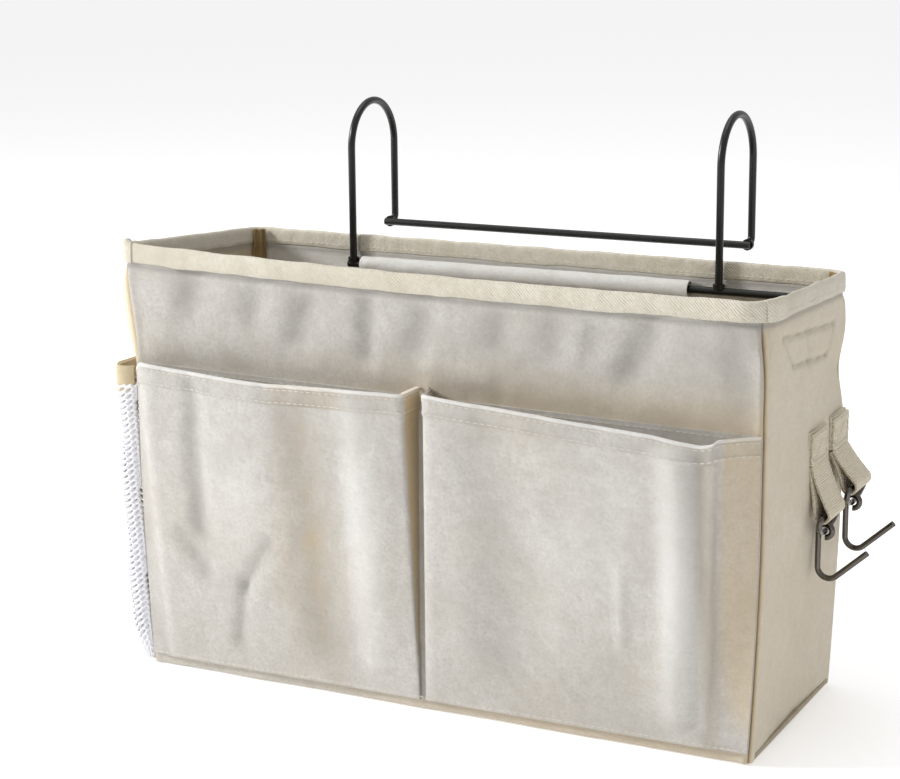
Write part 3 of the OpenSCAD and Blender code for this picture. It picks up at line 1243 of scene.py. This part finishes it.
@dataclass
class Pocket:
    """A bellows pocket: one strip of canvas sewn to the bag along its sides and bottom.

    Attributes:
        name: left_pocket or right_pocket.
        nodes: the CAD nodes that the strip stands for.
        left: x of the front's left edge.
        right: x of the front's right edge.
        seam_left: x of the seam on the bag at the left.
        seam_right: x of the seam on the bag at the right.
        mouth: (x, height) of the mouth's edge along the front.
        folds: ridges and dents of the front, in x and height.
        seed: picks the cloth's unevenness.
        shading_patches: patches of painted light and shade, in x and height.
        splay: how far the front's two edges and the two seams shift at the bottom.
        turned: how much beige painted shade the strip has where it turns back, at the left and at
            the right.
        belly: how far the front bulges.
    """

    name: str
    nodes: tuple[str, ...]
    left: float
    right: float
    seam_left: float
    seam_right: float
    mouth: tuple[tuple[float, float], ...]
    folds: tuple[Fold, ...]
    seed: int
    shading_patches: tuple[ShadingPatch, ...]
    splay: tuple[float, float, float, float]
    turned: tuple[float, float]
    belly: float = 2.0

    def edges(self, z: Array | float) -> list:
        """The front's left and right edge and the two seams at a height.

        Args:
            z: height.

        Returns:
            x of the left edge, right edge, left seam and right seam.
        """
        drop = 1.0 - np.clip((z - POCKET_BOTTOM) / POCKET_RISE, 0.0, 1.0)
        plain = (self.left, self.right, self.seam_left, self.seam_right)
        return [edge + shift * drop for edge, shift in zip(plain, self.splay)]

    def front_y(self, x: Array, z: Array | float) -> Array:
        """Depth of the pocket's front at each point, before folds.

        Args:
            x: across the pocket.
            z: height.

        Returns:
            y, in millimetres.
        """
        left, right, _, _ = self.edges(z)
        share = np.clip((x - left) / (right - left), 0.0, 1.0)
        up = np.clip((z - POCKET_BOTTOM) / POCKET_RISE, 0.0, 1.1)
        belly = self.belly * np.sin(math.pi * share) ** 0.8 * np.sin(math.pi * 0.5 * up) ** 1.6
        return POCKET_FACE - 1.4 - (z - POCKET_BOTTOM) * POCKET_LEAN - belly

    def path(self, z: float) -> Array:
        """The strip's outer face in plan at one height.

        Args:
            z: height.

        Returns:
            Points (n by 2) in millimetres.
        """
        x0, x1, seam0, seam1 = self.edges(z)
        front = np.linspace(x0, x1, 78)
        edge_l = float(self.front_y(np.array(x0), z))
        edge_r = float(self.front_y(np.array(x1), z))
        seam = POCKET_FACE
        left = np.linspace(0.0, 1.0, 12)[:-1]
        bend = math.sin(math.pi * min(1.0, z / 170.0)) * 0.8
        lx = seam0 + (x0 - seam0) * left
        ly = seam + (edge_l - seam) * left**1.15 + bend * np.sin(math.pi * left)
        rx = x1 + (seam1 - x1) * (1.0 - left[::-1])
        ry = seam + (edge_r - seam) * left[::-1] ** 1.15 + bend * np.sin(math.pi * left[::-1])
        fy = self.front_y(front, z)
        points = np.concatenate(
            [np.stack([lx, ly], -1), np.stack([front, fy], -1), np.stack([rx, ry], -1)]
        )
        for _ in range(2):
            points[1:-1] = (points[:-2] + 2.0 * points[1:-1] + points[2:]) / 4.0
        return points

    def mouth_z(self, x: Array) -> Array:
        """Height of the mouth's edge at each x."""
        xs, zs = zip(*self.mouth)
        return np.interp(x, xs, zs)

    def face(self, shares: Array, lift: float = 0.0) -> tuple[Array, Array]:
        """Points of the strip's outer face.

        Args:
            shares: heights as a share of the way from the bottom to the mouth.
            lift: outward offset.

        Returns:
            points (metres) and uv (metres).
        """
        base = self.path(169.0)
        top = self.mouth_z(base[:, 0])
        rows = []
        uvs = []
        run = np.concatenate([[0], np.linalg.norm(np.diff(base, axis=0), axis=1).cumsum()])
        for share in shares:
            heights = POCKET_BOTTOM + (top - POCKET_BOTTOM) * share
            line = np.array([self.path(h)[i] for i, h in enumerate(heights)])
            step = np.gradient(line, axis=0)
            out = np.stack([step[:, 1], -step[:, 0]], -1)
            out /= np.maximum(np.linalg.norm(out, axis=1), 1e-9)[:, None]
            amount = lift + self.relief(line[:, 0], heights)
            line = line + out * amount[:, None]
            rows.append(np.stack([line[:, 0], line[:, 1], heights], -1))
            uvs.append(np.stack([run, heights], -1))
        points = np.array(rows)
        x, y, z = SHAPE.settle(points[..., 0], points[..., 1], points[..., 2])
        return np.stack([x, y, z], -1) * MM, np.array(uvs) * MM

    def relief(self, x: Array, z: Array) -> Array:
        """Outward offset from the folds and the cloth's unevenness.

        Args:
            x: across the pocket.
            z: height.

        Returns:
            The offset, in millimetres.
        """
        left, right, _, _ = self.edges(z)
        inner = smoothstep(left + 2, left + 12, x) * (1.0 - smoothstep(right - 12, right - 2, x))
        out = 0.7 * waves(x, z, 55.0, self.seed) * inner
        for fold in self.folds:
            out = out + fold.height(x, z)
        return out * smoothstep(POCKET_BOTTOM, POCKET_BOTTOM + 12.0, z)

    def tones(self, points: Array, hem: bool = False) -> dict[str, Array]:
        """How beige, how grey and how pale the cloth is at each point: painted shade and painted
        light, and a little uneven beige tone.

        Args:
            points: rows by columns by 3, in metres.
            hem: adds painted shade in blocks along the hem's crimps and a painted highlight along
                its top edge.

        Returns:
            Values by name.
        """
        x = points[..., 0] / MM
        z = points[..., 2] / MM
        left, right, _, _ = self.edges(z)
        # Painted shade: beige where the strip turns back from the front.
        behind = smoothstep(0.8, 3.0, points[..., 1] / MM - self.front_y(x, z) - 0.6)
        beige = behind * np.where(x < (left + right) / 2.0, *self.turned)
        beige = beige + 0.06 * smoothstep(-0.4, 0.9, waves(x, z, 120.0, self.seed + 3, 2))
        # Painted shade along the right pocket front's right edge.
        grey = 0.16 * np.exp(-(((x - right) / 0.8) ** 2)) * (self.left > 0.0)
        # Painted highlight along the front's left edge.
        pale = 0.16 * np.exp(-(((x - left - 2.0) / 3.0) ** 2))
        # Painted shade in the folds' dents, painted highlight on their ridges.
        for fold in self.folds:
            grey = grey - 0.16 * np.minimum(fold.height(x, z), 0.0)
            pale = pale + 0.12 * np.maximum(fold.height(x, z), 0.0)
        # Painted light and shade from the patches.
        for shading_patch in self.shading_patches:
            amount = shading_patch.amount(x, z)
            beige = beige + shading_patch.beige * amount
            grey = grey + shading_patch.grey * amount
            pale = pale + shading_patch.pale * amount
        if hem:
            # Painted shade in blocks along the hem's crimps.
            crimp = np.sin(x / 3.4) + np.sin(x / 4.7 + 1.0)
            grey = grey + 0.04 + 0.1 * smoothstep(-0.3, 0.3, crimp)
            patch = smoothstep(-84.0, -74.0, x) * (1.0 - smoothstep(-42.0, -34.0, x))
            beige = beige + 0.25 * patch
            grey = grey + 0.2 * patch
            # Painted highlight: the top rows of the hem are paler and lose the painted shade.
            edge = np.zeros_like(x)
            edge[6:, :] = 1.0
            pale = pale + 0.45 * edge
            grey = grey * (1.0 - edge)
        return {"beige": beige, "grey": grey, "pale": pale}

    def build(self, thread: Thread) -> None:
        """Builds the strip, its hem and its stitches.

        Args:
            thread: the stitch that it is sewn with.
        """
        shares = np.linspace(0.0, 1.0, 66)
        points, uv = self.face(shares)
        self.cloth = grid_piece(f"{self.name}_cloth", points, uv, 1.4, **self.tones(points))
        drops = np.array([10.2, 9.9, 8.0, 5.5, 3.0, 1.2, 0.3, -0.4, -0.7])
        hem, uv = self.face(1.0 - drops / POCKET_RISE, 0.3)
        run = uv[..., 0] / MM
        for row, swell in enumerate((-0.4, -0.1, 0.1, 0.0, 0.2, 0.3, 0.5, 0.2, -1.2)):
            blocks = 0.22 * np.sign(np.sin(run[row] / 6.1)) + 0.3 * np.sin(run[row] / 2.3)
            push = swell + blocks * (0.0 < swell) * 0.6
            hem[row, :, 1] -= push * MM
        self.hem = grid_piece(f"{self.name}_hem", hem, uv, 2.9, **self.tones(hem, True))
        rows = []
        for drop in (8.4, 1.8):
            line, _ = self.face([1.0 - drop / POCKET_RISE], 0.95)
            line = resample(line[0], STITCH_STEP * MM)
            rows.append((line, outward_of(line)))
        self.seams = thread.sew(f"{self.name}_stitches", rows)

    def dress(self, finishes: Finishes) -> None:
        """Canvas on the front, and a beige copy of the canvas, painted shade, on the faces that
        turn back and sideways.

        Args:
            finishes: the caddy's finishes.
        """
        for piece in (self.cloth, self.hem):
            dress(piece, finishes.canvas, finishes.gusset_painted_shade)
            # Painted shade: faces that look back and sideways take the beige copy.
            for face in piece.data.polygons:
                if face.normal.y > 0.2 and abs(face.normal.x) > 0.3:
                    face.material_index = 1
        dress(self.seams, finishes.thread)
        for piece in (self.cloth, self.hem, self.seams):
            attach(piece, "bag")
            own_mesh(piece)
        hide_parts(*self.nodes)


def resample(points: Array, step: float) -> Array:
    """Points at even steps along a line.

    Args:
        points: n by 3.
        step: wanted distance.

    Returns:
        The new points.
    """
    run = np.concatenate([[0], np.linalg.norm(np.diff(points, axis=0), axis=1).cumsum()])
    count = max(2, int(run[-1] / step) + 1)
    at = np.linspace(0.0, run[-1], count)
    return np.stack([np.interp(at, run, points[:, k]) for k in range(3)], -1)


def outward_of(line: Array) -> Array:
    """Outward directions of a line that runs left to right across the front, seen in plan.

    Args:
        line: n by 3.

    Returns:
        The directions, n by 3.
    """
    step = np.gradient(line, axis=0)
    out = np.stack([step[:, 1], -step[:, 0], np.zeros(len(line))], -1)
    return out / np.maximum(np.linalg.norm(out, axis=1), 1e-9)[:, None]


# ---------- net pocket ----------


@dataclass
class NetPocket:
    """Net pocket on the left side, held open by a band."""

    reach: float = 14.0
    low: float = 3.0
    high: float = 152.0
    cell: float = 3.7
    wire: float = 2.8

    def girth(self) -> float:
        """Length of the net round its three faces."""
        return 2.0 * self.reach + 119.0

    def place(self, run: Array, up: Array, lift: Array | float = 0.0) -> Array:
        """Points of the net.

        Args:
            run: distance round its three faces, from the back seam to the front one.
            up: height.
            lift: outward offset.

        Returns:
            Points in metres.
        """
        full = self.girth()
        knots = np.array([0.0, 0.35, 0.7, 1.0, 1.35, 2.2]) * self.reach
        along = np.array([0.4, 0.8, 1.4, 3.0, 6.4, 14.0])
        out = np.array([0.02, 0.37, 0.7, 0.93, 1.0, 1.0])
        runs = np.concatenate([knots, full - knots[::-1]])
        alongs = np.concatenate([along, 125.0 - along[::-1]])
        outs = np.concatenate([out, out[::-1]])
        stand = self.reach * smoothstep(-10.0, 24.0, up) * np.interp(run, runs, outs)
        stand = stand * (0.95 + 0.05 * waves(run, up, 60.0, 71)) + 0.4 + lift
        return SHAPE.at(825.0 + np.interp(run, runs, alongs), up, stand)

    def build(self, thread: Thread) -> None:
        """Builds the net from six-sided cells that lean along its face, and the band over it.

        Args:
            thread: the stitch that it is sewn with.
        """
        cell = self.cell
        rise = cell * 0.866
        columns = int(self.girth() / cell)
        rows = int((self.high - self.low) / rise)
        points = {}
        faces = []

        def corner(a: float, z: float) -> int:
            """The number of the cell corner at a place, shared by the cells round it."""
            key = (round(a, 2), round(z, 2))
            return points.setdefault(key, len(points))

        radius = cell / math.sqrt(3.0)
        for r in range(rows + 1):
            for c in range(-24, columns + 1):
                a = 1.5 + c * cell + (cell / 2 if r % 2 else 0.0)
                z = self.low + 1.5 + r * rise
                ring = []
                for k in range(6):
                    turn = math.radians(60 * k + 30)
                    pz = z + radius * math.sin(turn)
                    pa = a + radius * math.cos(turn) + 0.5 * (pz - self.low)
                    ring.append((pa, pz))
                middle = a + 0.5 * (z - self.low)
                if 0.3 < middle < self.girth() - 0.3:
                    limit = self.girth() - 0.2
                    faces.append([corner(min(max(p[0], 0.2), limit), p[1]) for p in ring])
        flat = np.array(list(points.keys()))
        placed = self.place(flat[:, 0], flat[:, 1])
        self.net = link_piece("net_pocket_net", placed, faces, flat * MM)
        apply_modifier(
            self.net,
            "WIREFRAME",
            thickness=self.wire * MM,
            use_even_offset=False,
            use_boundary=True,
        )
        face_outward(self.net)
        shade(self.net)
        run = np.linspace(0.3, self.girth() - 0.3, 90)
        up = np.array([149.4, 149.8, 152.0, 156.0, 160.0, 163.2, 164.0, 164.4])
        s, z = np.meshgrid(run, up)
        swell = np.array([0.0, 0.5, 0.7, 0.6, 0.7, 0.5, 0.2, -0.3])[:, None]
        face = self.place(s, z, 0.5 + swell)
        self.band = grid_piece("net_pocket_band_cloth", face, np.stack([s, z], -1) * MM, 1.8)
        seams = []
        for height in (151.6, 161.6):
            at = np.linspace(self.reach, self.girth() - self.reach, 34)
            line = self.place(at, 0 * at + height, 1.3)
            seams.append((line, directions(line)))
        self.seams = thread.sew("net_band_stitches", seams)

    def dress(self, finishes: Finishes) -> None:
        """White net, tan band.

        Args:
            finishes: the caddy's finishes.
        """
        for piece, finish, slot in (
            (self.net, finishes.net, "net"),
            (self.band, finishes.band, "pocket_band"),
            (self.seams, finishes.thread, "pocket_band"),
        ):
            dress(piece, finish)
            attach(piece, "bag")
        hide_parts("net_pocket")
        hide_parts("net_pocket_band")


# ---------- webbing ----------


@dataclass
class WebbingLoop:
    """A strip of webbing, both ends sewn to the side panel, with a ring in its bend.

    Attributes:
        key: front or rear.
        y: its middle, from front to back.
        lean: how far the hanging part stands off the panel, in degrees.
        length: of the hanging part.
        inner: radius inside its bend.
    """

    key: str
    y: float
    lean: float = 16.0
    length: float = 26.0
    inner: float = 3.0

    def outline(self) -> Array:
        """Centre line of the hanging strip, from the back end round to the front end.

        Returns:
            Points (offset from the panel side, height) in the leaning frame.
        """
        radius = self.inner + WEB_T / 2
        below = self.inner - 1.5 - 0.4
        centre = -self.length + below
        points = []
        for share in np.linspace(0.0, 1.0, 9)[:-1]:
            points.append((0.75 + (radius - 0.75) * share**1.7, -0.2 + (centre + 0.2) * share))
        for turn in np.linspace(0.0, 180.0, 19):
            a = math.radians(turn)
            points.append((radius * math.cos(a), centre - radius * math.sin(a)))
        for share in np.linspace(1.0, 0.0, 9)[1:]:
            points.append((-0.75 - (radius - 0.75) * share**1.7, -0.2 + (centre + 0.2) * share))
        return np.array(points)

    def strip(self, name: str, line: Array, shift: float = 0.0) -> Object:
        """A strip of webbing along a line.

        Args:
            name: the piece's name.
            line: points (x, z) in millimetres.
            shift: sideways slant over the strip's length.

        Returns:
            The piece.
        """
        step = np.gradient(line, axis=0)
        step /= np.linalg.norm(step, axis=1)[:, None]
        out = np.stack([step[:, 1], -step[:, 0]], -1)
        half = WEB_W / 2
        half_t = WEB_T / 2
        profile = []
        for w in (-half, -half + 0.35, -half / 2, 0.0, half / 2, half - 0.35, half):
            thick = half_t * (0.45 if abs(w) == half else 1.0)
            profile.append((w, thick))
        section = profile + [(w, -t) for w, t in profile[::-1]]
        rings = []
        for i, (x, z) in enumerate(line):
            ring = []
            for w, t in section:
                wave = 0.12 * math.sin(i * 1.9 + w)
                y = self.y + w + shift * i / len(line)
                ring.append((x + out[i, 0] * (t + wave), y, z + out[i, 1] * t))
            rings.append(ring)
        return tube_piece(name, np.array(rings) * MM, 1.6)

    def build(self, thread: Thread) -> None:
        """Builds the sewn tab, the hanging loop and the box of stitches.

        Args:
            thread: the stitch that it is sewn with.
        """
        lean = math.radians(self.lean)
        flat = self.outline()
        neck_z = STITCH_Z + 0.4 - WEB_T * math.sin(lean)
        x = flat[:, 0] * math.cos(lean) - flat[:, 1] * math.sin(lean) + HALF_W + WEB_T
        z = flat[:, 0] * math.sin(lean) + flat[:, 1] * math.cos(lean) + neck_z
        dense = resample(np.stack([x, 0 * x, z], -1), 1.2)
        self.loop = self.strip(f"{self.key}_webbing_loop_strip", dense[:, [0, 2]])
        layers = []
        for k in range(2):
            z = np.linspace(STITCH_Z + 0.4, STITCH_Z + 17.4 - 1.2 * k, 14)
            x = HALF_W + WEB_T * (k + 0.5) + 0.12 * np.sin(z)
            layers.append(self.strip(f"tab_{k}", np.stack([x, z], -1), 0.6 * k))
        self.tab = join_pieces(f"{self.key}_loop_tab_strip", layers)
        face = HALF_W + 2 * WEB_T + 0.15
        y0, y1 = self.y - WEB_W / 2 + 1.8, self.y + WEB_W / 2 - 1.8
        z0, z1 = STITCH_Z + 2.2, STITCH_Z + 15.0
        corners = [(y0, z0), (y1, z0), (y1, z1), (y0, z1), (y0, z0), (y1, z1)]
        rows = []
        for a, b in zip(corners[:-1], corners[1:]):
            ends = np.array([(face, *a), (face, *b)]) * MM
            line = resample(ends, 2.9 * MM)
            rows.append((line, np.tile([1.0, 0.0, 0.0], (len(line), 1))))
        self.seams = thread.sew(f"{self.key}_tab_stitches", rows)

    def dress(self, finishes: Finishes) -> None:
        """Webbing finish.

        Args:
            finishes: the caddy's finishes.
        """
        for piece, body in ((self.tab, "bag"), (self.loop, f"{self.key}_loop")):
            dress(piece, finishes.webbing)
            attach(piece, body)
        dress(self.seams, finishes.thread)
        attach(self.seams, "bag")
        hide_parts(f"{self.key}_loop_tab")
        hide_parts(f"{self.key}_webbing_loop")


# ---------- the whole ----------


class Backing:
    """Layer of canvas behind the pockets that both are sewn to."""

    def build(self) -> None:
        """Builds the layer."""
        along = np.linspace(1.5, 348.5, 130)
        up = np.concatenate([[6.0], np.linspace(8.0, 166.0, 50), [167.0]])
        s, z = np.meshgrid(along, up)
        z = z - 4.5 * (s / 350.0) * smoothstep(100.0, 167.0, z)
        out = 0.8 + 0.3 * waves(s, z, 60.0, 21) * 0.3
        gap = np.minimum(s, 350.0 - s)
        out = out + edge_roll(gap, 1.8) * 0.5
        points = SHAPE.at(s, z, out)
        uv = np.stack([s, z], -1) * MM
        self.obj = grid_piece("pocket_backing_cloth", points, uv, 0.9, beige=0.04 + 0.0 * s)

    def dress(self, finishes: Finishes) -> None:
        """Canvas.

        Args:
            finishes: the caddy's finishes.
        """
        dress(self.obj, finishes.canvas)
        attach(self.obj, "bag")
        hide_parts("pocket_backing")


class Seams:
    """Rows of stitches that don't belong to a single pocket or tab."""

    def __init__(self, thread: Thread) -> None:
        """Sews every row on the bag's outside and inside.

        Args:
            thread: the stitch that it is sewn with.
        """
        rim = np.arange(0.0, GIRTH + 1.0, STITCH_STEP)
        rows = []
        for height, out in ((217.6, 1.0), (217.9, -CANVAS - 1.0)):
            line = SHAPE.at(rim, 0 * rim + height, 0 * rim + out)
            sign = 1.0 if out > 0 else -1.0
            rows.append((line, sign * directions(line)))
        self.rim = thread.sew("rim_stitches", rows)
        rows = []
        s = np.arange(3.0, 347.0, STITCH_STEP)
        for height, fall, out in ((7.6, 0.0, 2.75), (164.8, 4.5, 0.95)):
            line = SHAPE.at(s, height - fall * s / 350.0, 0 * s + out)
            rows.append((line, directions(line)))
        self.front = thread.sew("front_stitches", rows)

    def dress(self, finishes: Finishes) -> None:
        """Cream thread.

        Args:
            finishes: the caddy's finishes.
        """
        for piece, slot in ((self.rim, "twill_tape"), (self.front, "canvas")):
            dress(piece, finishes.thread)
            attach(piece, "bag")


FRONT_FOLDS = (
    Fold((40.0, 207.0), (36.0, 196.0), 8.0, -2.6),
    Fold((76.0, 205.0), (74.0, 196.0), 7.0, -2.2),
    Fold((106.0, 203.0), (100.0, 188.0), 8.0, -2.6),
    Fold((141.0, 206.0), (140.0, 184.0), 6.0, -2.8),
    Fold((172.0, 203.0), (168.0, 190.0), 8.0, -2.4),
    Fold((214.0, 203.0), (213.0, 196.0), 7.0, -2.0),
    Fold((243.0, 204.0), (242.0, 196.0), 7.0, -1.8),
    Fold((264.0, 204.0), (262.0, 196.0), 6.0, -1.5),
    Fold((292.0, 206.0), (282.0, 186.0), 8.0, -3.0),
    Fold((336.0, 208.0), (338.0, 176.0), 9.0, -1.8),
    Fold((136.0, 190.0), (150.0, 180.0), 3.0, 1.2, 0.4),
    Fold((178.0, 182.0), (206.0, 176.0), 6.0, 1.6),
    Fold((306.0, 202.0), (336.0, 182.0), 10.0, 2.2),
    Fold((20.0, 205.0), (60.0, 182.0), 9.0, 1.2),
)

RIGHT_FOLDS = (
    Fold((24.0, 205.0), (106.0, 200.0), 1.8, -1.7, 0.6),
    Fold((40.0, 189.0), (98.0, 184.0), 1.8, -1.8, 0.6),
    Fold((24.0, 205.0), (40.0, 189.0), 1.8, -1.1, 0.6),
    Fold((106.0, 200.0), (98.0, 184.0), 1.8, -1.1, 0.6),
    Fold((62.0, 203.0), (66.0, 187.0), 4.0, -0.9),
    Fold((30.0, 70.0), (70.0, 30.0), 9.0, 0.9),
)

LEFT_POCKET_MOUTH = (
    (-173, 164), (-158, 170.5), (-132, 169), (-81, 167), (-45, 168.4), (-4, 168.6),
    (1, 170.5), (2, 170.0),
)

RIGHT_POCKET_MOUTH = (
    (2, 169), (8, 169.8), (70, 166.2), (127, 162.4), (150, 159.4), (156, 160.6),
    (158.5, 163.0), (173, 162.0),
)

# Painted light and shade on the left pocket's front: pale where lit, grey and beige where shaded.
LEFT_POCKET_SHADING = (
    ShadingPatch((-110.0, 112.0), (20.0, 44.0), pale=0.22),
    ShadingPatch((-32.0, 92.0), (10.0, 54.0), pale=0.26),
    ShadingPatch((-66.0, 84.0), (17.0, 70.0), grey=0.12, beige=0.16),
    ShadingPatch((-90.0, 16.0), (62.0, 26.0), grey=0.1, beige=0.05),
    ShadingPatch((-132.0, 100.0), (7.0, 40.0), grey=0.16),
)

# Painted light and shade on the right pocket's front: pale where lit, grey and beige where shaded.
RIGHT_POCKET_SHADING = (
    ShadingPatch((94.0, 104.0), (22.0, 40.0), pale=0.16),
    ShadingPatch((137.0, 84.0), (9.0, 56.0), pale=0.34),
    ShadingPatch((152.0, 84.0), (4.6, 90.0), grey=0.46, beige=0.26),
    ShadingPatch((38.0, 84.0), (16.0, 60.0), grey=0.08),
    ShadingPatch((76.0, 18.0), (60.0, 24.0), grey=0.12, beige=0.04),
)

LEFT_POCKET_FOLDS = (
    Fold((-127.0, 162.0), (-130.0, 84.0), 6.0, -2.2),
    Fold((-142.0, 78.0), (-130.0, 62.0), 6.0, -2.0),
    Fold((-88.0, 82.0), (-107.0, 54.0), 5.0, -2.2, 0.5),
    Fold((-107.0, 54.0), (-113.0, 22.0), 5.0, -1.8, 0.4),
    Fold((-66.0, 152.0), (-60.0, 30.0), 12.0, -2.0),
    Fold((-32.0, 158.0), (-30.0, 26.0), 9.0, 1.6),
    Fold((-8.0, 150.0), (-8.0, 40.0), 7.0, -0.8),
)

RIGHT_POCKET_FOLDS = (
    Fold((108.0, 92.0), (108.0, 54.0), 3.0, 1.2, 0.3),
    Fold((136.0, 152.0), (134.0, 24.0), 8.0, 2.0),
    Fold((148.0, 154.0), (146.0, 14.0), 5.0, -1.6),
    Fold((38.0, 150.0), (44.0, 40.0), 14.0, -1.6),
    Fold((72.0, 110.0), (76.0, 50.0), 10.0, 0.8),
)


class Caddy:
    """The whole object, built sub-assembly by sub-assembly."""

    def __init__(self) -> None:
        """Names the sub-assemblies in the order in which they are built."""
        self.thread = Thread()
        self.finishes = Finishes()
        self.panels = [
            Panel(Side.FRONT, "front_panel", FRONT_FOLDS, 11, 0.5, pitch=2.2),
            Panel(Side.RIGHT, "right_side_panel", RIGHT_FOLDS, 12, 0.35, pitch=1.3),
            Panel(Side.BACK, "back_panel", (), 13, 0.6),
            Panel(Side.LEFT, "left_side_panel", (), 14, 0.4),
        ]
        self.rim = RimTape()
        self.base = Base()
        self.sleeve = Sleeve()
        self.backing = Backing()
        self.pockets = [
            Pocket(
                "left_pocket",
                ("left_pocket_front", "left_pocket_outer_gusset", "left_pocket_inner_gusset"),
                -159.0,
                -4.5,
                -173.0,
                -4.5,
                LEFT_POCKET_MOUTH,
                LEFT_POCKET_FOLDS,
                seed=81,
                shading_patches=LEFT_POCKET_SHADING,
                splay=(0.0, -1.0, 0.0, -1.0),
                turned=(0.0, 1.0),
            ),
            Pocket(
                "right_pocket",
                ("right_pocket_front", "right_pocket_inner_gusset", "right_pocket_outer_gusset"),
                6.5,
                158.5,
                0.5,
                173.2,
                RIGHT_POCKET_MOUTH,
                RIGHT_POCKET_FOLDS,
                seed=82,
                shading_patches=RIGHT_POCKET_SHADING,
                splay=(-8.8, -7.5, -3.0, 0.0),
                turned=(0.0, 0.42),
            ),
        ]
        self.net = NetPocket()
        self.loops = [
            WebbingLoop("front", LOOP_Y[0]),
            WebbingLoop("rear", LOOP_Y[1], lean=30.0, length=21.0),
        ]

    def build(self) -> None:
        """Models every soft piece."""
        for panel in self.panels:
            panel.build()
        for part in (self.rim, self.base, self.sleeve, self.backing):
            part.build()
        for part in (*self.pockets, self.net, *self.loops):
            part.build(self.thread)
        self.seams = Seams(self.thread)

    def dress(self) -> None:
        """Finishes every piece and says which body it moves with."""
        bag = (*self.panels, self.rim, self.base, self.sleeve, self.backing)
        for part in (*bag, *self.pockets, self.net, *self.loops, self.seams):
            part.dress(self.finishes)

    def dress_frame(self, nodes: dict[str, Object]) -> None:
        """Gives the wire parts and the board, which keep their CAD shape, their finishes.

        Args:
            nodes: the frame's nodes by name.
        """
        black = (
            "hanger_left_hook",
            "hanger_right_hook",
            "hanger_crossbar",
            "hanger_sleeve_bar",
            "hanger_welds",
        )
        nickel = ("front_ring", "front_wire_hook", "rear_ring", "rear_wire_hook")
        for names, finish in (
            (black, self.finishes.black),
            (nickel, self.finishes.nickel),
            (("base_board",), self.finishes.board),
        ):
            for name in names:
                for place in nodes[name].material_slots:
                    place.link = "OBJECT"
                    place.material = finish


class Studio:
    """Plain pale floor, soft light and the camera."""

    position = (0.4872, -1.0035, 0.4106)
    sensor = 36.0
    turn = 26.79
    tilt = 12.87
    roll = 0.52
    lens = 87.74

    def build(self) -> None:
        """Sets up floor, light and camera."""
        bpy.ops.object.select_all(action="DESELECT")
        bpy.ops.mesh.primitive_plane_add(size=60.0, location=(0.0, 0.0, -0.0004))
        floor = bpy.context.active_object
        floor.name = "studio_floor"
        material = bpy.data.materials.new("floor finish")
        n = Nodes(material)
        pale = (0.93, 0.93, 0.93, 1.0)
        white = (1.0, 1.0, 1.0, 1.0)
        n.surface(Base_Color=pale, Roughness=0.9, Emission_Color=white, Emission_Strength=0.34)
        dress(floor, material)
        floor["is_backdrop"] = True
        world = bpy.data.worlds.new("studio world")
        world.use_nodes = True
        sky = world.node_tree.nodes["Background"]
        sky.inputs[0].default_value = white
        sky.inputs[1].default_value = 0.6
        bpy.context.scene.world = world
        for name, place, size, power in (
            ("key light", (-1.6, -0.75, 0.95), 0.35, 29.0),
            ("top light", (-0.2, 0.2, 1.9), 1.2, 8.0),
        ):
            light = bpy.data.lights.new(name, "AREA")
            light.energy = power
            light.size = size
            lamp = bpy.data.objects.new(name, light)
            bpy.context.scene.collection.objects.link(lamp)
            lamp.location = place
            aim = -np.array(place) + np.array([0.0, 0.0, 0.12])
            lamp.rotation_euler = (
                math.atan2(math.hypot(aim[0], aim[1]), -aim[2]),
                0.0,
                math.atan2(aim[1], aim[0]) - math.pi / 2,
            )
        self.camera()

    def camera(self) -> None:
        """Places the camera."""
        a, e, r = (math.radians(v) for v in (self.turn, self.tilt, self.roll))
        right = np.array([math.cos(a), math.sin(a), 0.0])
        back = np.array([math.sin(a) * math.cos(e), -math.cos(a) * math.cos(e), math.sin(e)])
        up = np.cross(back, right)
        axis_x = math.cos(r) * right - math.sin(r) * up
        axis_y = math.sin(r) * right + math.cos(r) * up
        data = bpy.data.cameras.new("camera")
        data.lens = self.lens
        data.sensor_width = self.sensor
        camera = bpy.data.objects.new("camera", data)
        bpy.context.scene.collection.objects.link(camera)
        matrix = np.eye(4)
        matrix[:3, 0] = axis_x
        matrix[:3, 1] = axis_y
        matrix[:3, 2] = back
        matrix[:3, 3] = self.position
        camera.matrix_world = Matrix(matrix.tolist())
        bpy.context.scene.camera = camera


def main() -> None:
    """Builds the caddy and the studio."""
    logging.basicConfig(level=logging.INFO, format="%(message)s")
    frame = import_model()
    caddy = Caddy()
    caddy.build()
    caddy.dress()
    caddy.dress_frame(frame["nodes"])
    Studio().build()
    bpy.context.scene.view_settings.view_transform = "Standard"
    bpy.context.view_layer.update()
    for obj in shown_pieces():
        LOG.info("%s %d faces", obj.name, len(obj.data.polygons))


if __name__ == "__main__":
    main()
